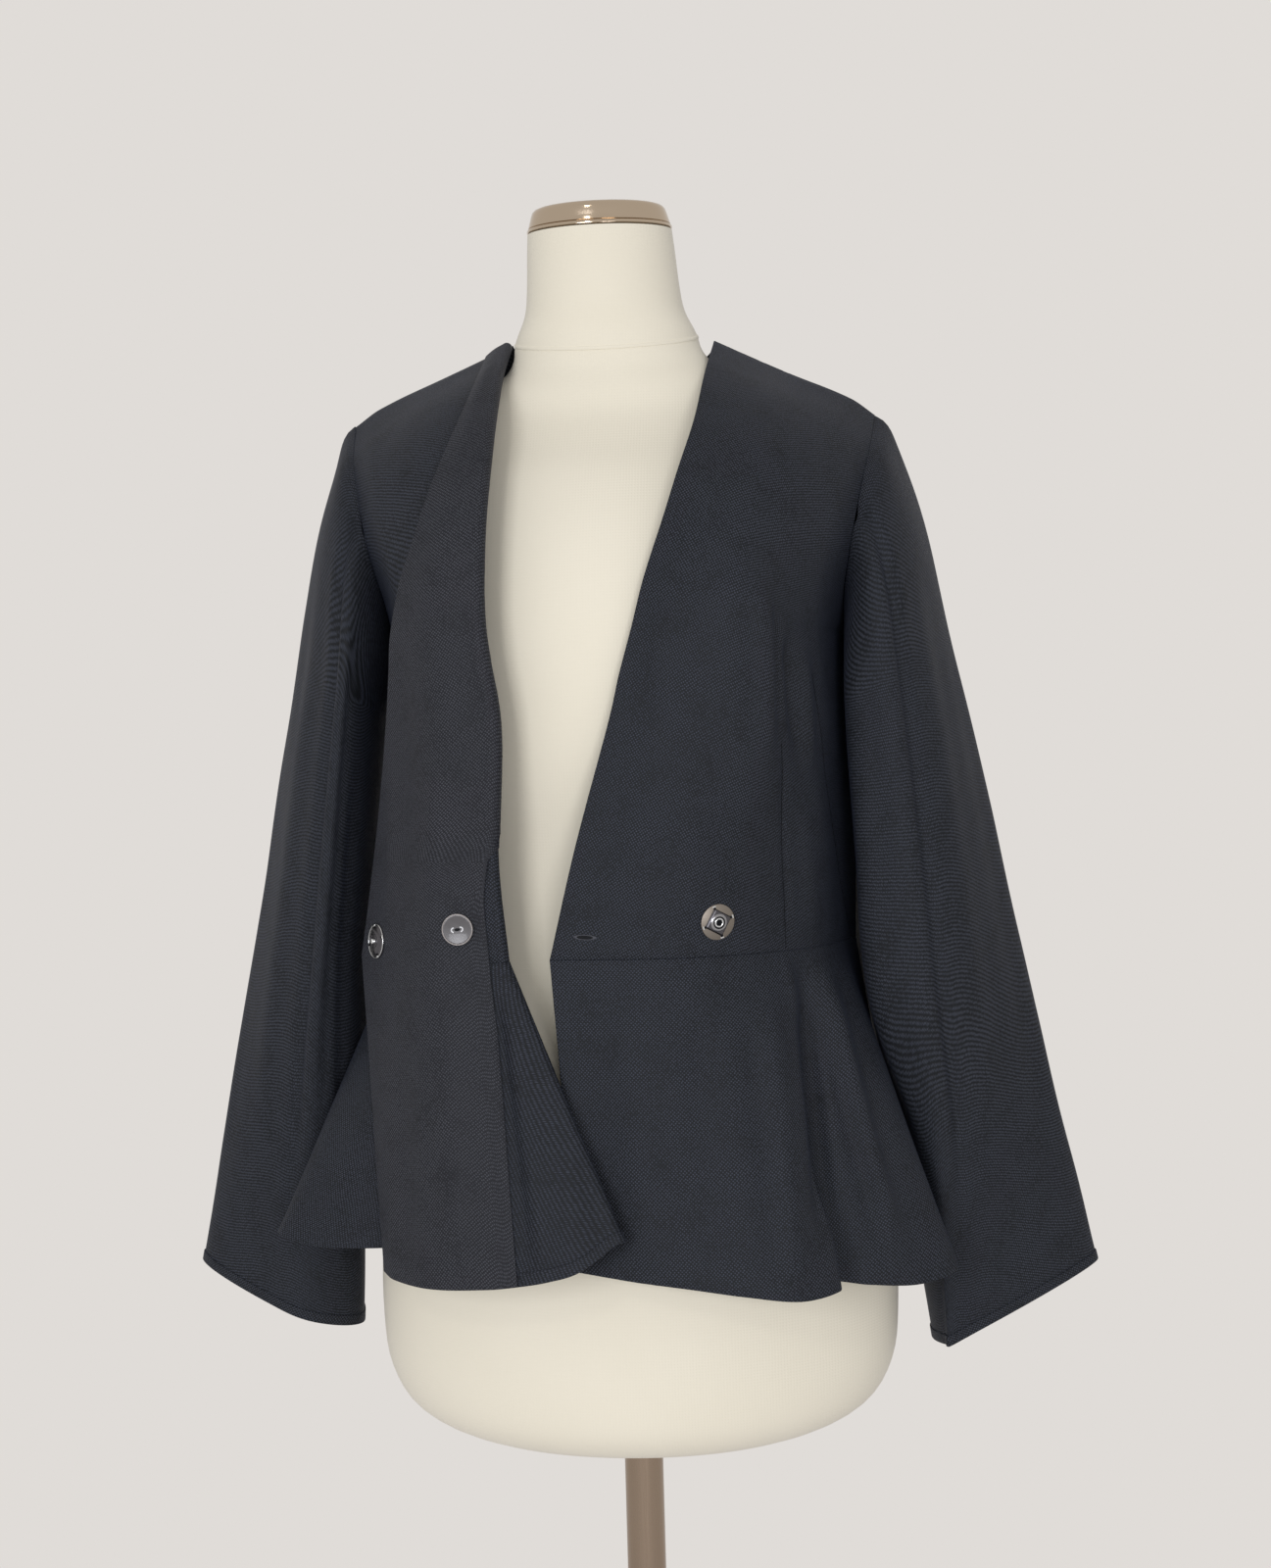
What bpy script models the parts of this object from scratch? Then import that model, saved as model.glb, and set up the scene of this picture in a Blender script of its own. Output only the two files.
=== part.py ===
"""Peplum blazer, worn open on a limbless dress form.

Metres, +Z up. The front faces -Y, the wearer's left is +X, and the origin is on the floor on the
pole's axis. The cloth is a thin wall. Its right front is turned back along a roll line, from the
neck down to the hem, so that the facing shows.
"""
import math

import bmesh
import bpy
from mathutils import Matrix, Vector

# ---- driving dimensions -------------------------------------------------------------------
CLOTH = 0.0015            # thickness of the crepe panels
FACING_CLOTH = 0.0012     # thickness of the facing
GAP = 0.0003              # what is left open at each seam and contact
ROLL_RADIUS = 0.0035      # bend of the turned front, to the wall's middle
ROLL_RADIUS_TOP = 0.0016  # the same at the shoulder seam, where little is turned
ROLL_TAPER_ROWS = 2       # table rows over which it grows
ROWS_ARMHOLE = 7          # table rows from the shoulder to the underarm
WAIST_ROW = 10            # table row of the waist seam
CELLS_ABOVE_UNDERARM = 7
CELLS_BELOW_UNDERARM = 5
PEPLUM_CELLS = 6
ROLL_CELLS = 6
BACK_NECK_SHARE = 0.4     # share of a back's upper edge that is neckline
BACK_NECK_CELLS = 3
BACK_SHOULDER_CELLS = 10
SLEEVE_CELLS_ROUND = 20
SLEEVE_CELLS_CAP = 5
SLEEVE_CELLS_ARM = 7
TORSO_CELLS_ROUND = 28
RIGHT_SPREAD_TOP = 1.03   # the right half hangs a little wider than the left
RIGHT_SPREAD_WAIST = 1.085
RIGHT_LIFT = 0.045        # and its shoulder a little higher, per metre from the middle

SHOULDER_BOW = 0.0035     # how far the shoulder seam arches above a straight line
ARMHOLE_OFF_TOP = 0.35    # how far a sleeve's edge stands off the armhole, in cloth thicknesses,
ARMHOLE_OFF_LOW = 1.10    # at the shoulder and at the underarm

BUTTON_DIAMETER = 0.020
SNAP_DIAMETER = 0.022
SNAP_HOLE_RING = 0.0076   # its sewing holes' distance from its middle
POLE_DIAMETER = 0.025
BASE_DIAMETER = 0.340
BASE_HEIGHT = 0.012
COLLAR_HEIGHT = 0.020     # of the collar on the base that holds the pole
TORSO_BOTTOM = 0.722
BUTTON_SHARE = 0.246      # where the button and stud lie between roll and free edge
STUD_SHARE = 0.871
SOCKET_SHARE = 0.528      # where the socket lies between front edge and side seam
FASTENING_ROW = 11.5      # grid row of all three, a little above the waist seam
FASTENING_LIFT = 0.0010   # they clear the curved cloth by this

NAVY = (0.018, 0.020, 0.030, 1.0)
JERSEY = (0.78, 0.72, 0.58, 1.0)
CHROME = (0.80, 0.80, 0.81, 1.0)
SMOKE = (0.045, 0.048, 0.052, 1.0)

# ---- tables, a row for each section or fold ------------------------------------------------
# Left front, from the shoulder seam down to the waist seam: its front edge, how far forward the
# breast and the turn to the side are, and its outer edge (armhole, then side seam).
FRONT_COLUMNS = ("edge_x", "edge_y", "edge_z", "breast_y", "turn_y", "side_x", "side_y", "side_z")
FRONT = (
    (0.0655, 0.012, 1.429, 0.0102, 0.0086, 0.1685, 0.008, 1.3745),
    (0.0612, -0.040, 1.398, -0.048, -0.036, 0.1630, -0.025, 1.3480),
    (0.0556, -0.080, 1.361, -0.085, -0.062, 0.1575, -0.042, 1.3250),
    (0.0465, -0.100, 1.329, -0.106, -0.078, 0.1521, -0.052, 1.3000),
    (0.0371, -0.113, 1.297, -0.118, -0.085, 0.1480, -0.050, 1.2800),
    (0.0257, -0.122, 1.262, -0.125, -0.084, 0.1445, -0.034, 1.2590),
    (0.0178, -0.127, 1.232, -0.129, -0.080, 0.1440, -0.014, 1.2400),
    (0.0100, -0.128, 1.205, -0.130, -0.074, 0.1455, 0.006, 1.2280),
    (0.0024, -0.128, 1.175, -0.129, -0.070, 0.1470, 0.006, 1.1800),
    (-0.0190, -0.126, 1.104, -0.125, -0.067, 0.1475, 0.006, 1.1060),
    (-0.0364, -0.123, 1.037, -0.122, -0.065, 0.1465, 0.006, 1.0365),
)
# A back, from the shoulder seam down to the waist seam.
BACK_COLUMNS = ("middle_y", "middle_z", "blade_y", "turn_y", "side_x", "side_y", "side_z")
BACK = (
    (0.050, 1.418, 0.012, 0.0095, 0.1685, 0.008, 1.3745),
    (0.066, 1.395, 0.060, 0.040, 0.1650, 0.032, 1.3480),
    (0.078, 1.365, 0.080, 0.060, 0.1610, 0.050, 1.3250),
    (0.088, 1.333, 0.092, 0.074, 0.1570, 0.060, 1.3020),
    (0.094, 1.300, 0.099, 0.082, 0.1545, 0.062, 1.2820),
    (0.098, 1.266, 0.102, 0.080, 0.1515, 0.053, 1.2620),
    (0.100, 1.235, 0.103, 0.075, 0.1485, 0.034, 1.2420),
    (0.100, 1.207, 0.102, 0.070, 0.1455, 0.006, 1.2280),
    (0.098, 1.175, 0.099, 0.066, 0.1470, 0.006, 1.1800),
    (0.091, 1.104, 0.091, 0.061, 0.1475, 0.006, 1.1060),
    (0.088, 1.037, 0.088, 0.060, 0.1465, 0.006, 1.0365),
)
# The turned part of the right front: where on the pattern it rolls, and where it lies.
TURNED_COLUMNS = ("roll_share", "middle_y", "edge_x", "edge_y", "edge_z")
TURNED = (
    (0.030, 0.0050, -0.0830, 0.0040, 1.4240),
    (0.070, -0.0540, -0.0830, -0.0570, 1.3900),
    (0.128, -0.0925, -0.0910, -0.0920, 1.3550),
    (0.220, -0.1150, -0.1028, -0.1120, 1.3180),
    (0.303, -0.1240, -0.1128, -0.1130, 1.2890),
    (0.378, -0.1290, -0.1220, -0.1100, 1.2640),
    (0.410, -0.1290, -0.1295, -0.1040, 1.2345),
    (0.420, -0.1280, -0.1325, -0.0980, 1.2100),
    (0.412, -0.1265, -0.1370, -0.0900, 1.1770),
    (0.495, -0.1185, -0.1492, -0.0720, 1.1050),
    (0.520, -0.1165, -0.1615, -0.0620, 1.0370),
)
# The peplum's hem, a row for each ridge, valley and turn of its flutes.
HEM_COLUMNS = ("share", "x", "y", "z")
HEM_LEFT = (
    (0.00, -0.0226, -0.137, 0.8554),
    (0.20, 0.0105, -0.144, 0.8514),
    (0.40, 0.0440, -0.149, 0.8480),
    (0.58, 0.0780, -0.150, 0.8435),
    (0.68, 0.1080, -0.143, 0.8393),
    (0.75, 0.1295, -0.126, 0.8410),
    (0.79, 0.1270, -0.100, 0.8400),
    (0.83, 0.1474, -0.098, 0.8373),
    (0.89, 0.1795, -0.087, 0.8350),
    (0.94, 0.2019, -0.066, 0.8400),
    (0.97, 0.1840, -0.034, 0.8450),
    (1.00, 0.1740, 0.006, 0.8500),
)
HEM_RIGHT = (
    (0.00, -0.1725, 0.006, 0.8680),
    (0.06, -0.1850, -0.040, 0.8670),
    (0.12, -0.2201, -0.066, 0.8660),
    (0.25, -0.1942, -0.088, 0.8608),
    (0.40, -0.1616, -0.098, 0.8613),
    (0.55, -0.1300, -0.104, 0.8630),
    (0.70, -0.0950, -0.115, 0.8640),
    (0.85, -0.0500, -0.139, 0.8670),
    (1.00, 0.0031, -0.152, 0.8770),
)
HEM_TURNED = (
    (0.00, 0.0031, -0.159, 0.8770),
    (0.02, -0.0181, -0.165, 0.8626),
    (0.04, -0.0369, -0.166, 0.8571),
    (0.06, -0.0544, -0.162, 0.8535),
    (0.28, -0.0747, -0.158, 0.8510),
    (0.62, -0.1086, -0.146, 0.8486),
    (0.87, -0.1330, -0.127, 0.8492),
    (1.00, -0.1418, -0.115, 0.8516),
)
HEM_BACK = (
    (0.00, -0.1725, 0.006, 0.8680),
    (0.08, -0.1740, 0.052, 0.8640),
    (0.17, -0.1560, 0.090, 0.8610),
    (0.27, -0.1400, 0.132, 0.8580),
    (0.36, -0.0950, 0.122, 0.8590),
    (0.45, -0.0550, 0.150, 0.8560),
    (0.53, -0.0050, 0.129, 0.8570),
    (0.62, 0.0480, 0.152, 0.8530),
    (0.71, 0.0900, 0.122, 0.8530),
    (0.80, 0.1400, 0.130, 0.8480),
    (0.89, 0.1570, 0.088, 0.8480),
    (0.95, 0.1740, 0.050, 0.8480),
    (1.00, 0.1740, 0.006, 0.8500),
)
# Where the grid lines of the fronts run, as shares of the width. They crowd at the folds.
LEFT_LINES = (0, 0.12, 0.24, 0.36, 0.48, 0.6, 0.68, 0.73, 0.765, 0.79, 0.815, 0.85, 0.89, 0.92,
              0.945, 0.97, 1)
UNTURNED_LINES = (0, 0.03, 0.06, 0.09, 0.12, 0.18, 0.27, 0.4, 0.6, 0.8, 1)
TURNED_LINES = (0, 0.02, 0.04, 0.06, 0.16, 0.28, 0.4, 0.52, 0.64, 0.76, 0.88, 1)
FACING_FIRST_LINE = 3     # line of TURNED_LINES where the facing's inner edge comes out
FACING_SHORT = 0.07       # share of the first cell by which it stops short of the shoulder seam
FACING_OUT_CELL = 11      # bodice row below which that edge shows

# A sleeve, from below the underarm down to the cuff. The outer side is higher than the inner.
SLEEVE_COLUMNS = ("z", "tilt", "outer_x", "ridge_x", "ridge_y", "front_x", "inner_x", "inner_y",
                  "back_y")
SLEEVE_LEFT = (
    (1.210, 0.60, 0.2133, 0.1760, -0.062, 0.1445, 0.1510, 0.004, 0.060),
    (1.120, 0.45, 0.2322, 0.1860, -0.060, 0.1475, 0.1515, 0.004, 0.058),
    (1.020, 0.38, 0.2510, 0.1955, -0.054, 0.1545, 0.1560, 0.020, 0.056),
    (0.920, 0.37, 0.2706, 0.2060, -0.034, 0.1840, 0.1715, 0.028, 0.058),
    (0.801, 0.43, 0.2950, 0.2060, -0.030, 0.1960, 0.1905, 0.010, 0.058),
)
SLEEVE_RIGHT = (
    (1.210, 0.60, 0.2178, 0.1760, -0.062, 0.1630, 0.1560, 0.004, 0.060),
    (1.120, 0.45, 0.2350, 0.1880, -0.060, 0.1724, 0.1640, 0.004, 0.058),
    (1.020, 0.36, 0.2534, 0.2020, -0.054, 0.1825, 0.1720, 0.004, 0.056),
    (0.920, 0.32, 0.2734, 0.2180, -0.032, 0.1933, 0.1800, 0.004, 0.058),
    (0.809, 0.36, 0.2937, 0.2290, -0.030, 0.2004, 0.1850, 0.004, 0.058),
)
# The form, from its underside up to its neck cap.
TORSO_COLUMNS = ("z", "half_width", "front", "back", "middle_y", "tilt")
TORSO = (
    (0.7235, 0.0750, 0.055, 0.055, 0.000, 0.00),
    (0.7290, 0.1180, 0.085, 0.090, 0.000, 0.00),
    (0.7440, 0.1480, 0.103, 0.108, 0.000, 0.00),
    (0.7680, 0.1630, 0.110, 0.116, 0.000, 0.00),
    (0.8000, 0.1675, 0.112, 0.119, 0.000, 0.00),
    (0.8500, 0.1665, 0.112, 0.119, 0.000, 0.00),
    (0.9200, 0.1560, 0.108, 0.112, 0.000, 0.00),
    (0.9850, 0.1370, 0.100, 0.096, 0.000, 0.00),
    (1.0400, 0.1240, 0.093, 0.081, 0.000, 0.00),
    (1.1000, 0.1240, 0.097, 0.080, 0.000, 0.00),
    (1.1600, 0.1300, 0.114, 0.086, 0.000, 0.00),
    (1.2100, 0.1340, 0.1190, 0.090, 0.000, 0.00),
    (1.2500, 0.1345, 0.1175, 0.091, 0.000, 0.00),
    (1.2900, 0.1360, 0.1065, 0.090, 0.000, 0.00),
    (1.3300, 0.1390, 0.088, 0.082, 0.002, 0.00),
    (1.3550, 0.1400, 0.070, 0.068, 0.004, 0.00),
    (1.3750, 0.1270, 0.057, 0.052, 0.005, 0.00),
    (1.3920, 0.1050, 0.051, 0.043, 0.005, 0.00),
    (1.4060, 0.0785, 0.045, 0.036, 0.007, 0.00),
    (1.4180, 0.0635, 0.045, 0.036, 0.004, 0.02),
    (1.4310, 0.0590, 0.0445, 0.039, -0.002, 0.05),
    (1.4450, 0.0520, 0.042, 0.041, -0.009, 0.08),
    (1.4600, 0.0493, 0.041, 0.042, -0.015, 0.11),
    (1.4800, 0.0475, 0.041, 0.042, -0.023, 0.14),
    (1.4925, 0.0462, 0.041, 0.042, -0.028, 0.14),
)
CAP = (
    (1.4930, 0.0464, 0.0414, 0.0424, -0.028, 0.14),
    (1.4960, 0.0459, 0.0409, 0.0419, -0.029, 0.14),
    (1.5020, 0.0435, 0.0385, 0.0395, -0.031, 0.14),
    (1.5050, 0.0422, 0.0372, 0.0382, -0.032, 0.14),
    (1.5070, 0.0388, 0.0338, 0.0348, -0.033, 0.14),
)
NECK_MIDDLE_X = -0.004    # the neck leans this far to the right
NECK_FROM, NECK_OVER = 1.40, 0.025


# ---- reading the tables ---------------------------------------------------------------------
def smooth(shares, rows, at):
    """A point on the smooth curve that passes through rows, which lie at the given shares."""
    last = len(shares) - 1
    k = next((i for i in range(last) if at <= shares[i + 1]), last - 1)

    def slope(i):
        low, high = max(i - 1, 0), min(i + 1, last)
        return (rows[high] - rows[low]) / (shares[high] - shares[low])

    width = shares[k + 1] - shares[k]
    t = (at - shares[k]) / width
    return (rows[k] * (2 * t**3 - 3 * t**2 + 1) + slope(k) * width * (t**3 - 2 * t**2 + t)
            + rows[k + 1] * (3 * t**2 - 2 * t**3) + slope(k + 1) * width * (t**3 - t**2))


def down_rows(row_point, count, v):
    """A point between rows: row_point(k) gives the same place on row k, and v counts rows."""
    near = range(max(int(v) - 1, 0), min(int(v) + 3, count))
    return smooth(list(near), [row_point(k) for k in near], v)


def right_side(p):
    """The same place on the garment's right half."""
    low = min(max((1.2 - p.z) / (1.2 - 1.037), 0), 1)
    high = min(max((p.z - 1.15) / 0.2, 0), 1)
    spread = RIGHT_SPREAD_TOP + (RIGHT_SPREAD_WAIST - RIGHT_SPREAD_TOP) * low * low * (3 - 2 * low)
    return Vector((-p.x * spread, p.y, p.z + RIGHT_LIFT * p.x * high))


def front_row(k, u):
    """Row k of the left front at share u of its width, from the front edge to the side."""
    r = dict(zip(FRONT_COLUMNS, FRONT[k]))
    edge = Vector((r["edge_x"], r["edge_y"], r["edge_z"]))
    side = Vector((r["side_x"], r["side_y"], r["side_z"]))
    breast, turn = edge.lerp(side, 0.45), edge.lerp(side, 0.85)
    breast.y, turn.y = r["breast_y"], r["turn_y"]
    if k == 0:
        breast.z += SHOULDER_BOW / 2
        turn.z += SHOULDER_BOW
    return smooth((0, 0.45, 0.85, 1), (edge, breast, turn, side), u)


def front(u, v):
    return down_rows(lambda k: front_row(k, u), len(FRONT), v)


def back_row(k, u):
    """Row k of the left back, from the middle seam (or the neckline) to the side."""
    r = dict(zip(BACK_COLUMNS, BACK[k]))
    middle = Vector((0, r["middle_y"], r["middle_z"]))
    side = Vector((r["side_x"], r["side_y"], r["side_z"]))
    if k == 0:
        neck_point = front_row(0, 0)
        if u >= BACK_NECK_SHARE:
            return front_row(0, (u - BACK_NECK_SHARE) / (1 - BACK_NECK_SHARE))
        t = u / BACK_NECK_SHARE
        corner = Vector((neck_point.x, middle.y, middle.z))
        return middle * (1 - t)**2 + corner * 2 * t * (1 - t) + neck_point * t**2
    blade, turn = middle.lerp(side, 0.45), middle.lerp(side, 0.87)
    blade.y, turn.y = r["blade_y"], r["turn_y"]
    return smooth((0, BACK_NECK_SHARE, 0.82, 1), (middle, blade, turn, side), u)


def back(u, v):
    return down_rows(lambda k: back_row(k, u), len(BACK), v)


def unturned(a, v):
    """The right front as far as its roll line, from the side (0) to the roll (1)."""
    roll_share = TURNED_COLUMNS.index("roll_share")
    share = down_rows(lambda k: Vector((TURNED[k][roll_share], 0, 0)), len(TURNED), v).x
    return right_side(front(1 - a * (1 - share), v))


def roll_frame(v):
    """Where the right front starts to roll, the ways it heads and faces there, and the radius."""
    step, low, high = 0.02, max(v - 0.1, 0), min(v + 0.1, WAIST_ROW)    # shares and rows aside
    start = unturned(1, v)
    ahead = (start - unturned(1 - step, v)).normalized()
    down = unturned(1, high) - unturned(1, low)
    out = ahead.cross(down).normalized()
    grown = min(v / ROLL_TAPER_ROWS, 1)
    radius = ROLL_RADIUS_TOP + (ROLL_RADIUS - ROLL_RADIUS_TOP) * grown
    return start, ahead, out if out.y < 0 else -out, radius


def rolled(start, ahead, out, radius, t):
    """A point on the half circle of the roll, from its start (0) to the turned part (1)."""
    angle = math.pi * t
    return start + out * radius + (ahead * math.sin(angle) - out * math.cos(angle)) * radius


def turned_row(k, f):
    """Row k of the turned part, from the roll (0) to the free edge (1)."""
    r = dict(zip(TURNED_COLUMNS, TURNED[k]))
    first = rolled(*roll_frame(k), 1)
    edge = Vector((r["edge_x"], r["edge_y"], r["edge_z"]))
    middle = first.lerp(edge, 0.5)
    middle.y = r["middle_y"]
    return smooth((0, 0.5, 1), (first, middle, edge), f)


def right_front(line, v):
    """The right front at a grid line: first the unturned lines, then the roll, then the rest."""
    roll_at = len(UNTURNED_LINES) - 1
    turned_at = roll_at + ROLL_CELLS
    if line <= roll_at:
        return unturned(UNTURNED_LINES[line], v)
    if line < turned_at:
        return rolled(*roll_frame(v), (line - roll_at) / ROLL_CELLS)
    return down_rows(lambda k: turned_row(k, TURNED_LINES[line - turned_at]), len(TURNED), v)


def hem_point(table, at):
    """A point on the hem at a share of the panel's width."""
    rows = [dict(zip(HEM_COLUMNS, row)) for row in table]
    return smooth([r["share"] for r in rows], [Vector((r["x"], r["y"], r["z"])) for r in rows], at)


def right_hem(line):
    roll_at = len(UNTURNED_LINES) - 1
    turned_at = roll_at + ROLL_CELLS
    if line <= roll_at:
        return hem_point(HEM_RIGHT, UNTURNED_LINES[line])
    if line < turned_at:
        start = hem_point(HEM_RIGHT, 1)
        out = (hem_point(HEM_TURNED, 0) - start).normalized()
        return rolled(start, Vector((1, 0, 0)), out, ROLL_RADIUS, (line - roll_at) / ROLL_CELLS)
    return hem_point(HEM_TURNED, TURNED_LINES[line - turned_at])


def sleeve_ring(row, phi):
    """A sleeve's section, from its outer side (0) by the front ridge and the inner side (0.5)."""
    r = dict(zip(SLEEVE_COLUMNS, row))
    outer, inner = r["outer_x"], r["inner_x"]
    width = outer - inner
    points = [Vector(p) for p in (
        (outer, 0.012, 0),
        (r["ridge_x"], r["ridge_y"], 0),
        (r["front_x"], 0.85 * r["ridge_y"], 0),
        (inner, r["inner_y"], 0),
        (inner + 0.25 * width, r["back_y"], 0),
        (inner + 0.72 * width, 0.95 * r["back_y"], 0),
    )]
    shares = (-0.35, -0.15, 0, 0.22, 0.38, 0.5, 0.65, 0.85, 1, 1.22)
    p = smooth(shares, points[4:] + points + points[:2], phi)
    p.z = r["z"] + r["tilt"] * (p.x - inner - width / 2)
    return p


def armhole(phi):
    """The armhole of the left half, from the shoulder (0) by the front to the underarm (0.5)."""
    if phi <= 0.5:
        return front(1, 2 * phi * ROWS_ARMHOLE)
    return back(1, 2 * (1 - phi) * ROWS_ARMHOLE)


def sleeve(table, phi, v):
    """A sleeve at phi round it, and v from the armhole (0) by the table's first row (1)."""
    if v >= 1:
        return down_rows(lambda k: sleeve_ring(table[k], phi), len(table), v - 1)
    forward = math.sin(2 * math.pi * phi)
    low = (1 - math.cos(2 * math.pi * phi)) / 2
    start = armhole(phi)
    start.x += GAP + CLOTH * (ARMHOLE_OFF_TOP + (ARMHOLE_OFF_LOW - ARMHOLE_OFF_TOP) * low)
    end = sleeve_ring(table[0], phi)
    reach = (end - start).length
    leave = Vector((0.55 + 0.25 * abs(forward), -0.5 * forward, -0.80 + 0.5 * abs(forward)))
    arrive = (sleeve_ring(table[1], phi) - end).normalized()
    return (start * (2 * v**3 - 3 * v**2 + 1) + leave * reach * (v**3 - 2 * v**2 + v)
            + end * (3 * v**2 - 2 * v**3) + arrive * reach * (v**3 - v**2))


def mirrored_sleeve(table, phi, v):
    """The right sleeve: its table gives distances to the right, and its armhole is wider."""
    p = sleeve(table, phi, v)
    if v >= 1:
        return Vector((-p.x, p.y, p.z))
    start = armhole(phi)
    shift = right_side(start) - Vector((-start.x, start.y, start.z))
    return Vector((-p.x, p.y, p.z)) + shift * (1 - v)**2


# ---- walls ----------------------------------------------------------------------------------
def grid_of(point, columns, rows):
    """The points of a panel: point(i, j) for each of its grid lines."""
    return [[point(i, j) for j in range(rows + 1)] for i in range(columns + 1)]


def grid_normals(grid, closed):
    """The way each point of a grid faces, from its neighbours."""
    last_i, last_j = len(grid) - 1, len(grid[0]) - 1
    normals = []
    for i in range(last_i + 1):
        before, after = (i - 1, i + 1) if 0 < i < last_i else (
            (last_i - 1, 1) if closed else (max(i - 1, 0), min(i + 1, last_i)))
        line = []
        for j in range(last_j + 1):
            across = grid[after][j] - grid[before][j]
            down = grid[i][min(j + 1, last_j)] - grid[i][max(j - 1, 0)]
            line.append(down.cross(across).normalized())
        normals.append(line)
    return normals


class Panel:
    """A piece of cloth: a grid of points, the way they face, and which edges are seams."""

    def __init__(self, name, grid, seams="", closed=False, thick=CLOTH, outward=1):
        self.name, self.grid, self.seams = name, grid, seams
        self.closed, self.thick = closed, thick
        self.normals = [[n * outward for n in line] for line in grid_normals(grid, closed)]
        self.skip = None

    def keys(self):
        for i, line in enumerate(self.grid):
            for j, p in enumerate(line):
                yield i, j, tuple(round(c, 5) for c in p)


def share_seam_normals(panels):
    """Panels that meet face the same way along their seam, so that their walls are mitred."""
    total = {}
    for panel in panels:
        for i, j, key in panel.keys():
            total[key] = total.get(key, Vector()) + panel.normals[i][j]
    for panel in panels:
        for i, j, key in panel.keys():
            panel.normals[i][j] = total[key].normalized()


def face_shoulder_seams(panels):
    """Front and back face straight up from the shoulder seam that they share."""
    line = front_row(0, 1) - front_row(0, 0)
    for panel, first, last, way in panels:
        up = Vector((-line.z * way, 0, line.x)).normalized()
        for i in range(first, last + 1):
            panel.normals[i][0] = up.copy()


def pull_back_seams(panel):
    """Each seam edge stands back from its neighbour's by half of the gap."""
    g = panel.grid
    last_i, last_j = len(g) - 1, len(g[0]) - 1
    moves = []
    for i in range(last_i + 1):
        if "top" in panel.seams:
            moves.append((i, 0, g[i][1] - g[i][0]))
        if "bottom" in panel.seams:
            moves.append((i, last_j, g[i][last_j - 1] - g[i][last_j]))
    for j in range(last_j + 1):
        if "first" in panel.seams:
            moves.append((0, j, g[1][j] - g[0][j]))
        if "last" in panel.seams:
            moves.append((last_i, j, g[last_i - 1][j] - g[last_i][j]))
    for i, j, way in moves:
        g[i][j] = g[i][j] + way.normalized() * GAP / 2


def wall_mesh(panel):
    """A wall of the panel's thickness on its grid of points."""
    columns, rows = len(panel.grid) - 1, len(panel.grid[0]) - 1
    bm = bmesh.new()
    bmesh.ops.create_grid(bm, x_segments=columns, y_segments=rows, size=0.5)
    place = {v: (round((v.co.x + 0.5) * columns), round((v.co.y + 0.5) * rows)) for v in bm.verts}
    ways = {}
    for v, (i, j) in place.items():
        v.co = panel.grid[i][j]
        ways[tuple(v.co)] = panel.normals[i][j]
    if panel.skip:
        corners = {f: [place[v] for v in f.verts] for f in bm.faces}
        gone = [f for f, at in corners.items()
                if panel.skip(min(i for i, j in at), min(j for i, j in at))]
        bmesh.ops.delete(bm, geom=gone, context="FACES")
    if panel.closed:
        bmesh.ops.remove_doubles(bm, verts=bm.verts[:], dist=1e-6)
    inner = {v: ways[tuple(v.co)] for v in bm.verts}
    made = bmesh.ops.extrude_face_region(bm, geom=bm.faces[:], use_keep_orig=True)["geom"]
    for v in made:
        if isinstance(v, bmesh.types.BMVert):
            v.co += ways[tuple(v.co)] * panel.thick / 2
    for v, way in inner.items():
        v.co -= way * panel.thick / 2
    bmesh.ops.recalc_face_normals(bm, faces=bm.faces[:])
    return bm


# ---- objects --------------------------------------------------------------------------------
def clear_scene():
    for item in list(bpy.data.objects):
        bpy.data.objects.remove(item, do_unlink=True)


def material(name, colour, roughness, metallic=0.0):
    made = bpy.data.materials.new(name)
    made.use_nodes = True
    shader = made.node_tree.nodes["Principled BSDF"]
    shader.inputs["Base Color"].default_value = colour
    shader.inputs["Roughness"].default_value = roughness
    shader.inputs["Metallic"].default_value = metallic
    return made


def add_object(name, bm, finish, collection, smooth_faces=True):
    mesh = bpy.data.meshes.new(name)
    bm.to_mesh(mesh)
    bm.free()
    if smooth_faces:
        mesh.shade_smooth()
        mesh.set_sharp_from_angle(angle=math.radians(40))
    mesh.materials.append(finish)
    made = bpy.data.objects.new(name, mesh)
    collection.objects.link(made)
    return made


def loft(rows):
    """A closed solid of ring sections, such as the form's torso and its neck cap."""
    bm = bmesh.new()
    rings = []
    for row in rows:
        r = dict(zip(TORSO_COLUMNS, row))
        ring = bmesh.ops.create_circle(bm, segments=TORSO_CELLS_ROUND, radius=1)["verts"]
        neck = min(max((r["z"] - NECK_FROM) / NECK_OVER, 0), 1)
        for v in ring:
            y = v.co.y * (r["front"] if v.co.y < 0 else r["back"])
            v.co = Vector((v.co.x * r["half_width"] + NECK_MIDDLE_X * neck, y + r["middle_y"],
                           r["z"] + r["tilt"] * y))
        rings.append(sorted({e for v in ring for e in v.link_edges}, key=lambda e: e.index))
    for low, high in zip(rings, rings[1:]):
        bmesh.ops.bridge_loops(bm, edges=low + high)
    for ring in (rings[0], rings[-1]):
        bmesh.ops.contextual_create(bm, geom=ring)
    bmesh.ops.recalc_face_normals(bm, faces=bm.faces[:])
    return bm


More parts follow.
